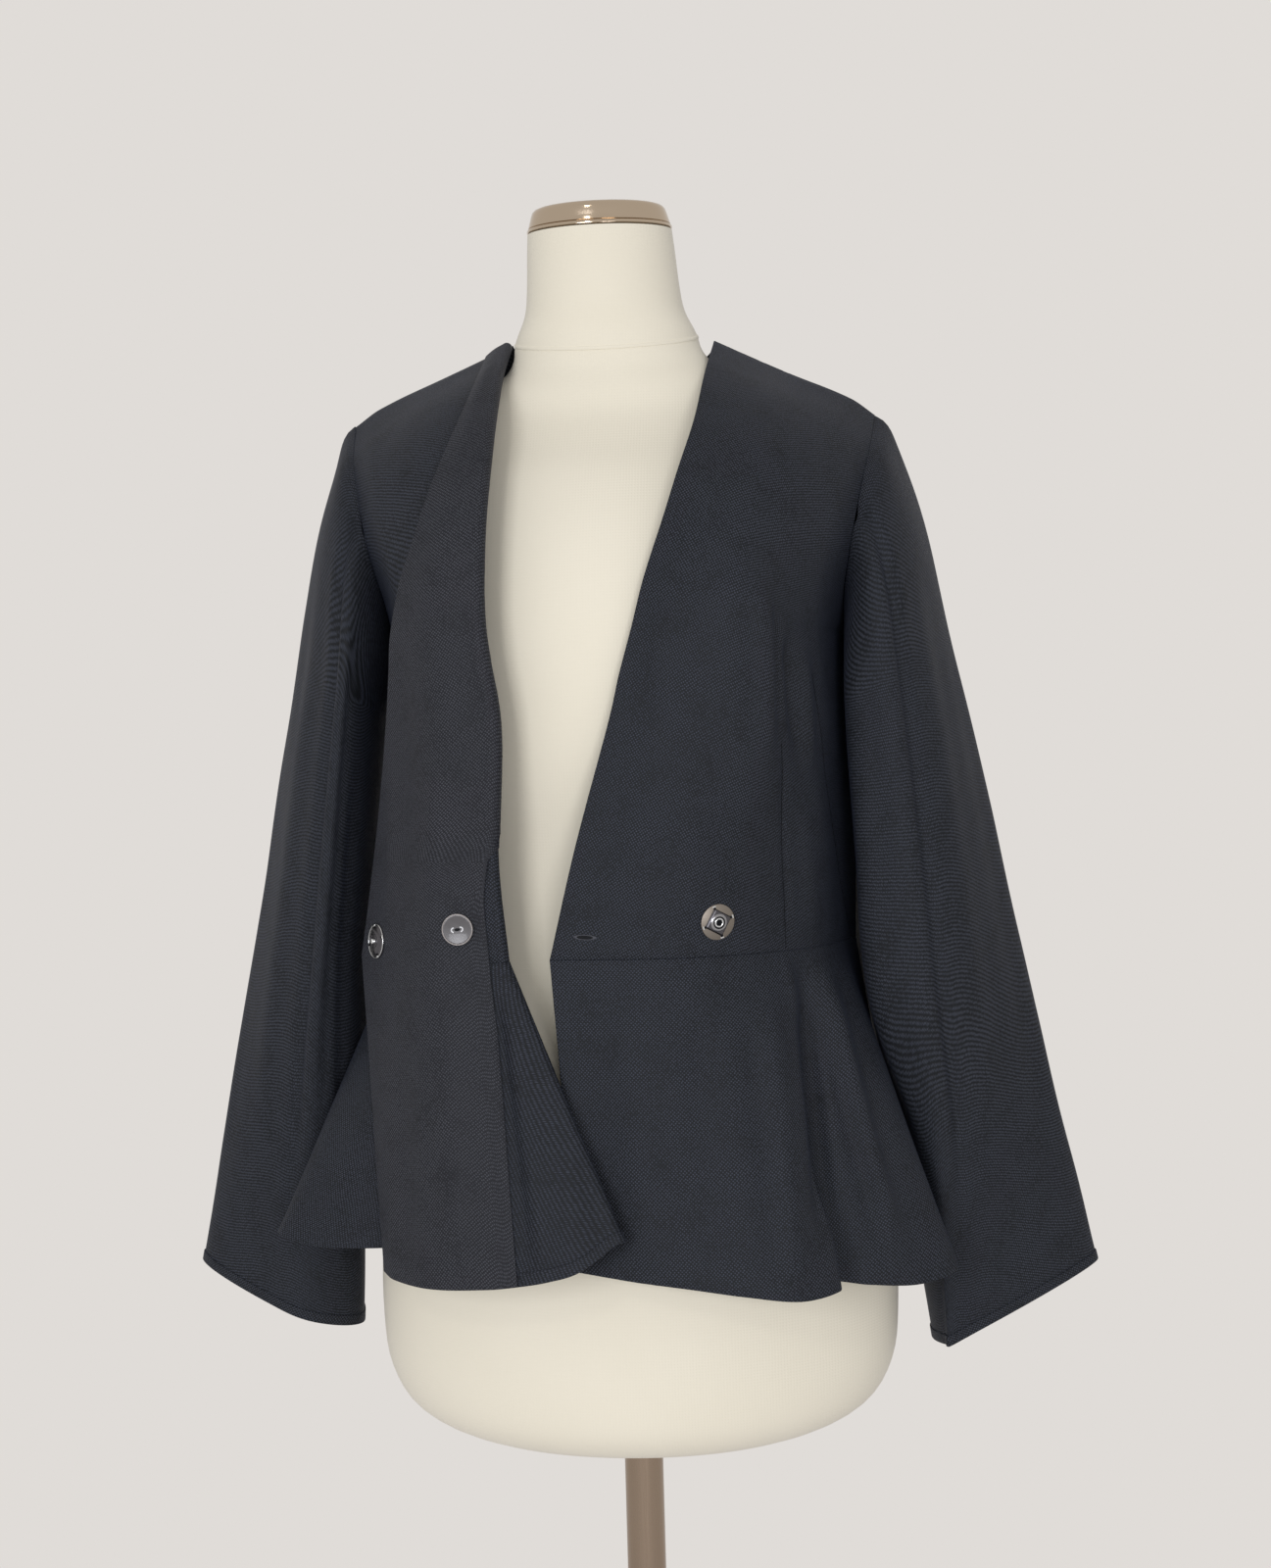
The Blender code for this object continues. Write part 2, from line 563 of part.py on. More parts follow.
def turned(name, profile, segments, finish, collection):
    """A solid of revolution about Z, from a profile of (radius, z), top to bottom."""
    bm = bmesh.new()
    verts = [bm.verts.new((r, 0, z)) for r, z in profile]
    edges = [bm.edges.new(pair) for pair in zip(verts, verts[1:])]
    bmesh.ops.spin(bm, geom=verts + edges, cent=(0, 0, 0), axis=(0, 0, 1), dvec=(0, 0, 0),
                   angle=2 * math.pi, steps=segments, use_merge=True, use_duplicate=False)
    bmesh.ops.remove_doubles(bm, verts=bm.verts[:], dist=1e-6)
    bmesh.ops.recalc_face_normals(bm, faces=bm.faces[:])
    return add_object(name, bm, finish, collection)


def cut_holes(target, places, radius, cutters):
    """Drills round holes along the target's own Z at the given places."""
    for n, (x, y) in enumerate(places):
        bm = bmesh.new()
        bmesh.ops.create_cone(bm, cap_ends=True, segments=8, radius1=radius, radius2=radius,
                              depth=0.02)
        cutter = add_object(f"{target.name}_cutter_{n}", bm, target.data.materials[0], cutters,
                            smooth_faces=False)
        cutter.location = (x, y, 0)
        cutter.parent = target
        cutter.hide_render = True
        cutter.display_type = "WIRE"
        drill = target.modifiers.new(f"hole_{n}", "BOOLEAN")
        drill.object = cutter
        drill.operation = "DIFFERENCE"


def standing_on(panel, i, j, lift):
    """A matrix that stands a turned piece on a panel's face at grid place i, j, off it by lift."""
    def read(values):
        low_i, low_j = int(i), int(j)
        top = values[low_i][low_j].lerp(values[low_i + 1][low_j], i - low_i)
        low = values[low_i][low_j + 1].lerp(values[low_i + 1][low_j + 1], i - low_i)
        return top.lerp(low, j - low_j)

    z = read(panel.normals).normalized()
    x = Vector((0, 0, 1)).cross(z).normalized()
    turn = Matrix((x, z.cross(x), z)).transposed().to_4x4()
    return Matrix.Translation(read(panel.grid) + z * (panel.thick / 2 + lift)) @ turn


# ---- the garment ----------------------------------------------------------------------------
def bodice_row(j):
    """Table row at grid line j."""
    if j <= CELLS_ABOVE_UNDERARM:
        return ROWS_ARMHOLE * j / CELLS_ABOVE_UNDERARM
    below = (j - CELLS_ABOVE_UNDERARM) / CELLS_BELOW_UNDERARM
    return ROWS_ARMHOLE + (WAIST_ROW - ROWS_ARMHOLE) * below


def line_of(lines, share):
    """The grid line at a share of the width, counted with its fraction."""
    k = next(i for i in range(len(lines) - 1) if share <= lines[i + 1])
    return k + (share - lines[k]) / (lines[k + 1] - lines[k])


def peplum(waist, hem, j):
    """A point on the straight fold from the waist seam to the hem."""
    return waist.lerp(hem, j / PEPLUM_CELLS)


def make_panels():
    left_columns = len(LEFT_LINES) - 1
    bodice_cells = CELLS_ABOVE_UNDERARM + CELLS_BELOW_UNDERARM
    right_columns = len(UNTURNED_LINES) - 1 + ROLL_CELLS + len(TURNED_LINES) - 1
    back_columns = BACK_NECK_CELLS + BACK_SHOULDER_CELLS

    def back_share(i):
        if i <= BACK_NECK_CELLS:
            return BACK_NECK_SHARE * i / BACK_NECK_CELLS
        return BACK_NECK_SHARE + (1 - BACK_NECK_SHARE) * (i - BACK_NECK_CELLS) / BACK_SHOULDER_CELLS

    front_left = grid_of(lambda i, j: front(LEFT_LINES[i], bodice_row(j)), left_columns,
                         bodice_cells)
    front_right = grid_of(lambda i, j: right_front(i, bodice_row(j)), right_columns, bodice_cells)
    back_left = grid_of(lambda i, j: back(back_share(i), bodice_row(j)), back_columns,
                        bodice_cells)
    back_left[-1][CELLS_ABOVE_UNDERARM:] = front_left[-1][CELLS_ABOVE_UNDERARM:]
    back_right = [[right_side(p) for p in line] for line in back_left]
    peplum_left = grid_of(
        lambda i, j: peplum(front_left[i][-1], hem_point(HEM_LEFT, LEFT_LINES[i]), j),
        left_columns, PEPLUM_CELLS)
    peplum_right = grid_of(lambda i, j: peplum(front_right[i][-1], right_hem(i), j),
                           right_columns, PEPLUM_CELLS)
    waist_back = [line[-1] for line in reversed(back_right)] + [line[-1] for line in back_left[1:]]
    peplum_back = grid_of(
        lambda i, j: peplum(waist_back[i], hem_point(HEM_BACK, i / (2 * back_columns)), j),
        2 * back_columns, PEPLUM_CELLS)
    return (
        Panel("bodice_front_left", front_left, "top bottom last"),
        Panel("bodice_front_right", front_right, "top bottom first"),
        Panel("bodice_back_left", back_left, "top bottom first last", outward=-1),
        Panel("bodice_back_right", back_right, "top bottom first last"),
        Panel("peplum_front_left", peplum_left, "top last"),
        Panel("peplum_front_right", peplum_right, "top first"),
        Panel("peplum_back", peplum_back, "top first last", outward=-1),
    )


def make_facing(bodice, lower):
    """The strip on the wrong side of the turned front, from the shoulder to the hem."""
    first = len(UNTURNED_LINES) - 1
    inner = ROLL_CELLS + FACING_FIRST_LINE
    lift = CLOTH / 2 + GAP + FACING_CLOTH / 2
    grid, normals = [], []
    for i in range(first, len(bodice.grid)):
        waist = (bodice.grid[i][-1] + lower.grid[i][0]) / 2
        points = bodice.grid[i][:-1] + [waist] + lower.grid[i][1:]
        ways = bodice.normals[i] + lower.normals[i][1:]
        line = [p - n * lift for p, n in zip(points, ways)]
        line[0] = line[0].lerp(line[1], FACING_SHORT)
        grid.append(line)
        normals.append([-n for n in ways])
    piece = Panel("facing_front_right", grid, thick=FACING_CLOTH)
    piece.normals = normals
    piece.skip = lambda i, j: j >= FACING_OUT_CELL and i < inner
    return piece


def make_sleeve(name, table, shape):
    rows = SLEEVE_CELLS_CAP + SLEEVE_CELLS_ARM

    def row_at(j):
        if j <= SLEEVE_CELLS_CAP:
            return j / SLEEVE_CELLS_CAP
        return 1 + (len(table) - 1) * (j - SLEEVE_CELLS_CAP) / SLEEVE_CELLS_ARM

    def point(i, j):
        return shape(table, (i % SLEEVE_CELLS_ROUND) / SLEEVE_CELLS_ROUND, row_at(j))

    return Panel(name, grid_of(point, SLEEVE_CELLS_ROUND, rows), closed=True)


def make_snap(name, stud, finish, collection, cutters):
    """Half of a press snap: a domed disc with four sewing holes and a stud or a socket."""
    r = SNAP_DIAMETER / 2
    boss = 0.0042 if stud else 0.0030
    top = ((0, boss),) if stud else ((0, 0.0015), (0.0021, 0.0015))
    rim = ((0.0022, boss), (0.0036, boss - 0.0005), (0.0040, 0.0022), (0.0075, 0.0020),
           (0.0098, 0.0014), (r, 0.0004), (r, 0), (0, 0))
    made = turned(name, top + rim, 18, finish, collection)
    angles = [math.radians(45 + 90 * n) for n in range(4)]
    cut_holes(made, [(SNAP_HOLE_RING * math.cos(a), SNAP_HOLE_RING * math.sin(a)) for a in angles],
              0.0012, cutters)
    return made


def make_button(finish, collection, cutters):
    """A flat round button with a raised rim and two holes."""
    r = BUTTON_DIAMETER / 2
    profile = ((0.0, 0.0022), (0.0072, 0.0022), (0.0082, 0.0030), (0.0094, 0.0030), (r, 0.0022),
               (r, 0.0008), (r - 0.0008, 0.0), (0.0, 0.0))
    made = turned("button", profile, 20, finish, collection)
    cut_holes(made, ((-0.0022, 0), (0.0022, 0)), 0.0010, cutters)
    return made


def make_stand(finish, collection):
    """The pole, and the round base with the collar that the pole stands on."""
    pole, base, collar = POLE_DIAMETER / 2, BASE_DIAMETER / 2, BASE_HEIGHT + COLLAR_HEIGHT
    turned("form_pole", ((0, TORSO_BOTTOM), (pole, TORSO_BOTTOM), (pole, collar + GAP),
                         (0, collar + GAP)), 28, finish, collection)
    turned("form_base", (
        (0, collar), (pole + 0.0095, collar), (pole + 0.0115, collar - 0.003),
        (pole + 0.0135, BASE_HEIGHT + 0.002), (base * 0.9, BASE_HEIGHT),
        (base - 0.003, BASE_HEIGHT - 0.002), (base, BASE_HEIGHT - 0.006), (base, 0), (0, 0),
    ), 48, finish, collection)


def main():
    clear_scene()
    blazer = bpy.data.collections.new("peplum_blazer_on_form")
    cutters = bpy.data.collections.new("cutters")
    for group in (blazer, cutters):
        bpy.context.scene.collection.children.link(group)
    navy = material("navy_crepe", NAVY, 0.75)
    facing_navy = material("navy_facing", NAVY, 0.75)
    jersey = material("cream_jersey", JERSEY, 0.9)
    chrome = material("chrome", CHROME, 0.12, 1.0)
    smoke = material("smoked_resin", SMOKE, 0.2)
    steel = material("snap_steel", CHROME, 0.25, 1.0)

    panels = make_panels()
    share_seam_normals(panels)
    named = {p.name: p for p in panels}
    face_shoulder_seams((
        (named["bodice_front_left"], 0, len(LEFT_LINES) - 1, 1),
        (named["bodice_front_right"], 0, len(UNTURNED_LINES) - 1, -1),
        (named["bodice_back_left"], BACK_NECK_CELLS, BACK_NECK_CELLS + BACK_SHOULDER_CELLS, 1),
        (named["bodice_back_right"], BACK_NECK_CELLS, BACK_NECK_CELLS + BACK_SHOULDER_CELLS, -1),
    ))
    facing = make_facing(named["bodice_front_right"], named["peplum_front_right"])
    for panel in panels:
        pull_back_seams(panel)
    sleeves = (make_sleeve("sleeve_left", SLEEVE_LEFT, sleeve),
               make_sleeve("sleeve_right", SLEEVE_RIGHT, mirrored_sleeve))
    for panel in panels + sleeves:
        add_object(panel.name, wall_mesh(panel), navy, blazer)
    add_object(facing.name, wall_mesh(facing), facing_navy, blazer)

    button = make_button(smoke, blazer, cutters)
    stud = make_snap("snap_stud", True, steel, blazer, cutters)
    socket = make_snap("snap_socket", False, steel, blazer, cutters)
    button_line = ROLL_CELLS + line_of(TURNED_LINES, BUTTON_SHARE)
    stud_line = ROLL_CELLS + line_of(TURNED_LINES, STUD_SHARE)
    socket_line = line_of(LEFT_LINES, SOCKET_SHARE)
    button.matrix_world = standing_on(facing, button_line, FASTENING_ROW, FASTENING_LIFT)
    stud.matrix_world = standing_on(facing, stud_line, FASTENING_ROW + 0.25, FASTENING_LIFT)
    socket.matrix_world = standing_on(named["bodice_front_left"], socket_line, FASTENING_ROW,
                                      FASTENING_LIFT)

    add_object("form_torso", loft(TORSO), jersey, blazer)
    add_object("form_neck_cap", loft(CAP), chrome, blazer)
    make_stand(chrome, blazer)


main()
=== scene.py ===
# %% [markdown]
# # A peplum blazer on a dress form
# This lesson dresses a plain model of a blazer: near-black crepe, with a flared peplum below the
# waist seam and long bell sleeves. It hangs open on a limbless form, and one front is turned back
# so that its facing shows. The plain model gives every size, and each piece made here stands on
# it or takes its place.
#
# The file goes from the camera and light to the materials, then the cloth, the hardware and the
# form.

# %% Load the plain model
import bisect
import functools
import itertools
import math

import bmesh
import bpy
from mathutils import Matrix, Vector, noise


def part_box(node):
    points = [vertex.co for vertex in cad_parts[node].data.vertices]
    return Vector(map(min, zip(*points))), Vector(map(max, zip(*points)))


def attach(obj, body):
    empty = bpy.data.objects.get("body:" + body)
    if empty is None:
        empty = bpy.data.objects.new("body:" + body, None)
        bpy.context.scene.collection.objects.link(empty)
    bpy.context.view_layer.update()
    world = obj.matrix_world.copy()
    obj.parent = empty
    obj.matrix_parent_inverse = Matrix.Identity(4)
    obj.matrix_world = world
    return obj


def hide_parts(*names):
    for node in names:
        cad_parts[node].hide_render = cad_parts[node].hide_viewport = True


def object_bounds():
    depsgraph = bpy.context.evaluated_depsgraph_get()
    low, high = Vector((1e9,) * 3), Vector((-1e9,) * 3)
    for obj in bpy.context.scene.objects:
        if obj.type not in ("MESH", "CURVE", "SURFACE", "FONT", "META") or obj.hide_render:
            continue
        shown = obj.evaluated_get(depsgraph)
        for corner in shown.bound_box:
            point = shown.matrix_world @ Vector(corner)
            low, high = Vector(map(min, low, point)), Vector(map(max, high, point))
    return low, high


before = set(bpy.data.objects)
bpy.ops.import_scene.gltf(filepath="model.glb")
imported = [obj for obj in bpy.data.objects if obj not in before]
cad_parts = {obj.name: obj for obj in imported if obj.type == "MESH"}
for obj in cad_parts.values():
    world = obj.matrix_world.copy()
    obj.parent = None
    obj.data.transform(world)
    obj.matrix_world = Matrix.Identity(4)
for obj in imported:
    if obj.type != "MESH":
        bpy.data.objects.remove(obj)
plain_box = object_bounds()
print("plain model:", [[round(c, 3) for c in corner] for corner in plain_box])

# %% [markdown]
# ## The camera
# The camera is fitted to the photograph with an assumed 45 mm lens. It stands 1.28 m away, a
# little to the left of the middle and level with the chest, and is turned by 1.6 degrees about its
# own line of sight. A camera could be aimed with a Track To constraint. Writing its matrix from
# three directions gives that small turn at once, and nothing is left to follow anything.

# %% Set the camera
CAMERA_AWAY, CAMERA_SIDE, CAMERA_HIGH = 1.28, 0.0067, 1.14
CAMERA_ROLL, CAMERA_TURN = math.radians(1.6), math.radians(5.0)
LENS, SENSOR = 45, 36     # millimetres

to_right = Vector((math.cos(CAMERA_TURN), math.sin(CAMERA_TURN), 0))
ahead = Vector((-math.sin(CAMERA_TURN), math.cos(CAMERA_TURN), 0))
up = Vector((0, 0, 1))
place = to_right * CAMERA_SIDE - ahead * CAMERA_AWAY + up * CAMERA_HIGH
across = to_right * math.cos(CAMERA_ROLL) - up * math.sin(CAMERA_ROLL)
upright = up * math.cos(CAMERA_ROLL) + to_right * math.sin(CAMERA_ROLL)

lens = bpy.data.cameras.new("camera")
lens.lens, lens.sensor_width, lens.sensor_fit = LENS, SENSOR, "AUTO"
camera = bpy.data.objects.new("camera", lens)
camera.matrix_world = Matrix((across, upright, -ahead)).transposed().to_4x4()
camera.matrix_world.translation = place
bpy.context.scene.collection.objects.link(camera)
bpy.context.scene.camera = camera
print("camera at", [round(c, 3) for c in place])

# %% [markdown]
# ## Small helpers
# A colour picker shows sRGB values, but a shader wants linear light, so one function turns a hex
# code into linear. Another adds a node, sets its values and links its inputs, and three more take
# up what most materials need: noise, a tint and an uneven polish. The last two put a bmesh into
# a named object and make a finished piece of it.

# %% Helpers for colours, nodes and objects
SMOOTH_TO = math.radians(50)    # corners sharper than this stay sharp


def colour(code):
    """An sRGB hex code as linear red, green, blue and alpha."""
    parts = [int(code[i:i + 2], 16) / 255 for i in (1, 3, 5)]
    return [c / 12.92 if c <= 0.04045 else ((c + 0.055) / 1.055) ** 2.4 for c in parts] + [1]


def add_node(material, kind, links=(), settings=(), values=()):
    """A node with its settings, its input values, and links to its inputs from (node, output)."""
    node = material.node_tree.nodes.new(kind)
    for name, value in dict(settings).items():
        setattr(node, name, value)
    for name, value in dict(values).items():
        node.inputs[name].default_value = value
    for name, (source, output) in dict(links).items():
        material.node_tree.links.new(source.outputs[output], node.inputs[name])
    return node


def new_material(name, values):
    """A material and its shader, with the values set on the shader's own sockets."""
    material = bpy.data.materials.new(name)
    material.use_nodes = True
    shader = material.node_tree.nodes["Principled BSDF"]
    for socket, value in values.items():
        shader.inputs[socket].default_value = value
    return material, shader


def feed(material, source, output, shader, socket):
    material.node_tree.links.new(source.outputs[output], shader.inputs[socket])


def object_noise(material, size, detail=2.0, distortion=0.0):
    """Noise in the object's own coordinates, with patches of about a size in metres."""
    place_on = add_node(material, "ShaderNodeTexCoord")
    return add_node(material, "ShaderNodeTexNoise", {"Vector": (place_on, "Object")},
                    values={"Scale": 1 / size, "Detail": detail, "Distortion": distortion})


def tint_by(material, shader, source, output, dim, lit):
    """Colour a material between two hex codes by a node's output."""
    mix = add_node(material, "ShaderNodeMixRGB", {"Fac": (source, output)},
                   values={"Color1": colour(dim), "Color2": colour(lit)})
    feed(material, mix, "Color", shader, "Base Color")


def roughen_by(material, shader, source, output, smoothest, roughest):
    """Make a material rougher by a node's output."""
    spread = add_node(material, "ShaderNodeMapRange", {"Value": (source, output)},
                      values={"To Min": smoothest, "To Max": roughest})
    feed(material, spread, "Result", shader, "Roughness")


def mesh_object(name, bm, material):
    mesh = bpy.data.meshes.new(name)
    bm.to_mesh(mesh)
    bm.free()
    mesh.materials.append(material)
    made = bpy.data.objects.new(name, mesh)
    bpy.context.scene.collection.objects.link(made)
    return made


def new_piece(name, bm, material, replaced=()):
    """A finished piece: smooth faces, its material, and its place on the plain model."""
    piece = mesh_object(name, bm, material)
    mesh = piece.data
    mesh.shade_smooth()
    mesh.set_sharp_from_angle(angle=SMOOTH_TO)
    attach(piece, "root")
    if replaced:
        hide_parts(*replaced)
    print(name, len(mesh.polygons), "faces")
    return piece

# %% [markdown]
# ## Light and floor
# The room is bright and plain, with white walls. Two soft lamps stand behind the camera, one to
# each side and the left one a little stronger, so the shadows are faint. A small spot above gives
# the polished pieces a highlight, and the world gives the rest. A white backdrop would need as
# much light again on it, so the world is made brighter where the camera or a polished face sees
# it than where it lights the blazer.

# %% Light and backdrop
def area_lamp(name, place, target, size, watts, code="#ffffff"):
    lamp = bpy.data.lights.new(name, "AREA")
    lamp.shape = "RECTANGLE"
    lamp.size, lamp.size_y = size
    lamp.energy = watts
    lamp.color = colour(code)[:3]
    made = bpy.data.objects.new(name, lamp)
    made.location = place
    made.rotation_euler = (Vector(target) - Vector(place)).to_track_quat("-Z", "Y").to_euler()
    bpy.context.scene.collection.objects.link(made)


area_lamp("near", (0.70, -2.4, 1.1), (0, 0, 1.1), (0.8, 0.8), 17, "#fcfbff")
area_lamp("left", (-0.75, -2.4, 1.35), (0, 0, 1.1), (0.9, 0.9), 20, "#f8f9ff")
area_lamp("spot", (-0.7, -2.9, 2.6), (0, 0, 1.3), (0.25, 0.25), 4, "#fffaf2")
world = bpy.data.worlds.new("white_room")
world.use_nodes = True
wall_light = world.node_tree.nodes["Background"]
wall_light.inputs["Color"].default_value = colour("#f2f0f2")
wall_light.inputs["Strength"].default_value = 0.56
wall_seen = add_node(world, "ShaderNodeBackground", values={"Color": colour("#e0dcd8")})
ray = add_node(world, "ShaderNodeLightPath")
seen = add_node(world, "ShaderNodeMath", {0: (ray, "Is Camera Ray"), 1: (ray, "Is Glossy Ray")},
                {"operation": "MAXIMUM"})
either = add_node(world, "ShaderNodeMixShader", {
    0: (seen, "Value"), 1: (wall_light, "Background"), 2: (wall_seen, "Background")})
feed(world, either, "Shader", world.node_tree.nodes["World Output"], "Surface")
bpy.context.scene.world = world
bpy.context.scene.view_settings.view_transform = "Standard"

FLOOR_RADIUS = 1.3
floor_paint = new_material("matt_white_paint", {
    "Base Color": colour("#e9e6e3"), "Roughness": 0.85})[0]
bm = bmesh.new()
bmesh.ops.create_circle(bm, cap_ends=True, segments=96, radius=FLOOR_RADIUS)
bmesh.ops.translate(bm, verts=bm.verts, vec=(0, 0, plain_box[0][2]))
floor = mesh_object("floor", bm, floor_paint)
print("lamps:", len(bpy.data.lights), "and a floor at", plain_box[0][2])

# %% [markdown]
# ## Crepe
# The blazer's cloth is a polyester crepe in a small basket weave, dyed a blue so deep that it
# looks black. Its pebbles catch the light one by one, in rows that stand between each other's
# gaps. Each pebble is raised by a bump, and its top is painted lighter as a painted highlight, a
# little weaker in some slow patches. An image could hold the weave. Cells on the piece's own flat
# map, turned by 45 degrees so that the rows alternate, give it from a few numbers and stay sharp at
# any size. The pebbles measure about 1.2 mm apart along a row. They are drawn 2.2 mm apart, or
# they would not show at this distance.

# %% Make the crepe
PEBBLE = 0.0022    # metres from pebble to pebble along a row, coarser than their real 1.2 mm


def make_crepe_with_painted_glints(name, base, lit):
    material, shader = new_material(name, {
        "IOR": 1.45, "Specular IOR Level": 0.12,
        "Sheen Weight": 0.04, "Sheen Roughness": 0.3, "Sheen Tint": colour("#8296d0")})
    flat = add_node(material, "ShaderNodeUVMap", settings={"uv_map": "cloth"})
    rows = add_node(material, "ShaderNodeMapping", {"Vector": (flat, "UV")}, values={
        "Rotation": (0, 0, math.radians(45)), "Scale": (1.0, 1.0, 1.0)})
    wobble = add_node(material, "ShaderNodeTexNoise", {"Vector": (flat, "UV")},
                      values={"Scale": 1 / 0.02, "Detail": 1.0})
    shift = add_node(material, "ShaderNodeVectorMath", {0: (wobble, "Color")},
                     {"operation": "SCALE"}, {"Scale": PEBBLE * 0.3})
    moved = add_node(material, "ShaderNodeVectorMath", {0: (rows, "Vector"), 1: (shift, "Vector")},
                     {"operation": "ADD"})
    pebbles = add_node(material, "ShaderNodeTexVoronoi", {"Vector": (moved, "Vector")},
                       {"feature": "F1"}, {"Scale": math.sqrt(2) / PEBBLE, "Randomness": 0.22})
    bumps = add_node(material, "ShaderNodeMapRange", {"Value": (pebbles, "Distance")},
                     {"interpolation_type": "SMOOTHSTEP"},
                     {"From Min": 0.1, "From Max": 0.5, "To Min": 1.0, "To Max": 0.0})
    raised = add_node(material, "ShaderNodeBump", {"Height": (bumps, "Result")},
                      values={"Strength": 0.6, "Distance": 0.0005})
    patches = add_node(material, "ShaderNodeTexNoise", {"Vector": (flat, "UV")},
                       values={"Scale": 1 / 0.05, "Detail": 3.0})
    # Slow patches make the painted pebble highlights up to a tenth weaker.
    painted_glint_strength = add_node(material, "ShaderNodeMapRange", {"Value": (patches, "Fac")},
                      values={"From Min": 0.35, "From Max": 0.65, "To Min": 0.9, "To Max": 1.0})
    share = add_node(material, "ShaderNodeMath", {0: (bumps, "Result"), 1: (painted_glint_strength, "Result")},
                     {"operation": "MULTIPLY"})
    feed(material, raised, "Normal", shader, "Normal")
    # Painted highlights: each pebble top is coloured from the base colour toward the lit one.
    tint_by(material, shader, share, "Value", base, lit)
    roughen_by(material, shader, patches, "Fac", 0.48, 0.62)
    return material


# The second colour of each crepe is the painted highlight on its pebble tops.
crepe = make_crepe_with_painted_glints("navy_polyester_crepe", "#1c1e21", "#434751")
# The facing is the same crepe in a lighter copy, painted light for the light its turned-back face
# catches.
facing_crepe_painted_lighter = make_crepe_with_painted_glints("navy_polyester_crepe_facing", "#232428", "#4b4d53")
print("crepe:", crepe.name, "and", facing_crepe_painted_lighter.name)

# %% [markdown]
# ## Jersey, chrome and the small hardware
# The form is covered in fine cream jersey. Its cap and base are polished chrome, warm in tone,
# which shows the room, so it needs only a little unevenness. The pole is satin, and its brownish
# colour is a painted reflection of the room. The button is smoked resin, with a rim in a paler copy
# as a painted highlight. The press snaps are pressed steel, all from one recipe, in copies painted
# lighter for highlights and darker for shade: a dull plate, a dark dome and bright rings.

# %% Make the other materials
STITCH = 0.0018    # metres between jersey loops, drawn at twice their real size

jersey, shader = new_material("cream_cotton_jersey", {
    "Roughness": 0.88, "IOR": 1.45, "Sheen Weight": 0.2, "Sheen Roughness": 0.6})
place_on = add_node(jersey, "ShaderNodeTexCoord")
wales = add_node(jersey, "ShaderNodeTexWave", {"Vector": (place_on, "Object")},
                 {"wave_type": "BANDS", "bands_direction": "X"},
                 {"Scale": 0.314 / STITCH, "Distortion": 1.2, "Detail": 1.0})
courses = add_node(jersey, "ShaderNodeTexWave", {"Vector": (place_on, "Object")},
                   {"wave_type": "BANDS", "bands_direction": "Z"},
                   {"Scale": 0.314 / STITCH, "Distortion": 1.2, "Detail": 1.0})
loops = add_node(jersey, "ShaderNodeMath", {0: (wales, "Fac"), 1: (courses, "Fac")},
                 {"operation": "MULTIPLY"})
knit = add_node(jersey, "ShaderNodeBump", {"Height": (loops, "Value")},
                values={"Strength": 0.25, "Distance": 0.0003})
feed(jersey, knit, "Normal", shader, "Normal")
tint_by(jersey, shader, object_noise(jersey, 0.12, 3.0), "Fac", "#ded8c4", "#e8e2d0")

chrome, shader = new_material("polished_chrome", {
    "Base Color": colour("#bcac98"), "Metallic": 1.0})
roughen_by(chrome, shader, object_noise(chrome, 0.02, 4.0), "Fac", 0.05, 0.16)

# The pole's brownish metal colour is a painted reflection of the room; its streaky roughness is its
# satin finish.
satin_painted_reflection, shader = new_material("satin_pole", {
    "Base Color": colour("#988777"), "Metallic": 1.0})
place_on = add_node(satin_painted_reflection, "ShaderNodeTexCoord")
draw = add_node(satin_painted_reflection, "ShaderNodeMapping", {"Vector": (place_on, "Object")},
                values={"Scale": (1 / 0.0008, 1 / 0.0008, 1 / 0.05)})
lines = add_node(satin_painted_reflection, "ShaderNodeTexNoise", {"Vector": (draw, "Vector")},
                 values={"Scale": 1.0, "Detail": 2.0})
roughen_by(satin_painted_reflection, shader, lines, "Fac", 0.2, 0.38)


def make_resin(name, dim, lit):
    material, shader = new_material(name, {
        "IOR": 1.5, "Roughness": 0.3, "Transmission Weight": 0.1, "Coat Weight": 0.25})
    swirl = object_noise(material, 0.008, distortion=1.5)
    tint_by(material, shader, swirl, "Fac", dim, lit)
    return material


def make_steel(name, code, smoothest):
    material, shader = new_material(name, {"Base Color": colour(code), "Metallic": 1.0})
    grain = object_noise(material, 0.0009, 3.0)
    roughen_by(material, shader, grain, "Fac", smoothest, smoothest + 0.2)
    return material


smoke = make_resin("smoked_resin", "#4a484a", "#5b595b")
# The rim is the same resin in a paler copy, a painted highlight where its raised edge catches the
# light.
rim_resin_painted_highlight = make_resin("smoked_resin_rim", "#847e7b", "#a8a29e")
# Copies of one pressed steel: the bright one is painted highlight, the mid and dark ones are
# painted shade, and the dull one is the plain plate.
highlight_steel = make_steel("pressed_steel_painted_highlight", "#d4d6d7", 0.12)
mid_shaded_steel = make_steel("pressed_steel_painted_mid_shade", "#98989b", 0.14)
dark_steel = make_steel("shaded_pressed_steel", "#58575b", 0.18)
dull_steel = make_steel("dull_pressed_steel", "#857e76", 0.4)

thread, shader = new_material("navy_polyester_thread", {
    "Roughness": 0.5, "Sheen Weight": 0.3})
tint_by(thread, shader, object_noise(thread, 0.0006), "Fac", "#0b0d14", "#2a2e3c")

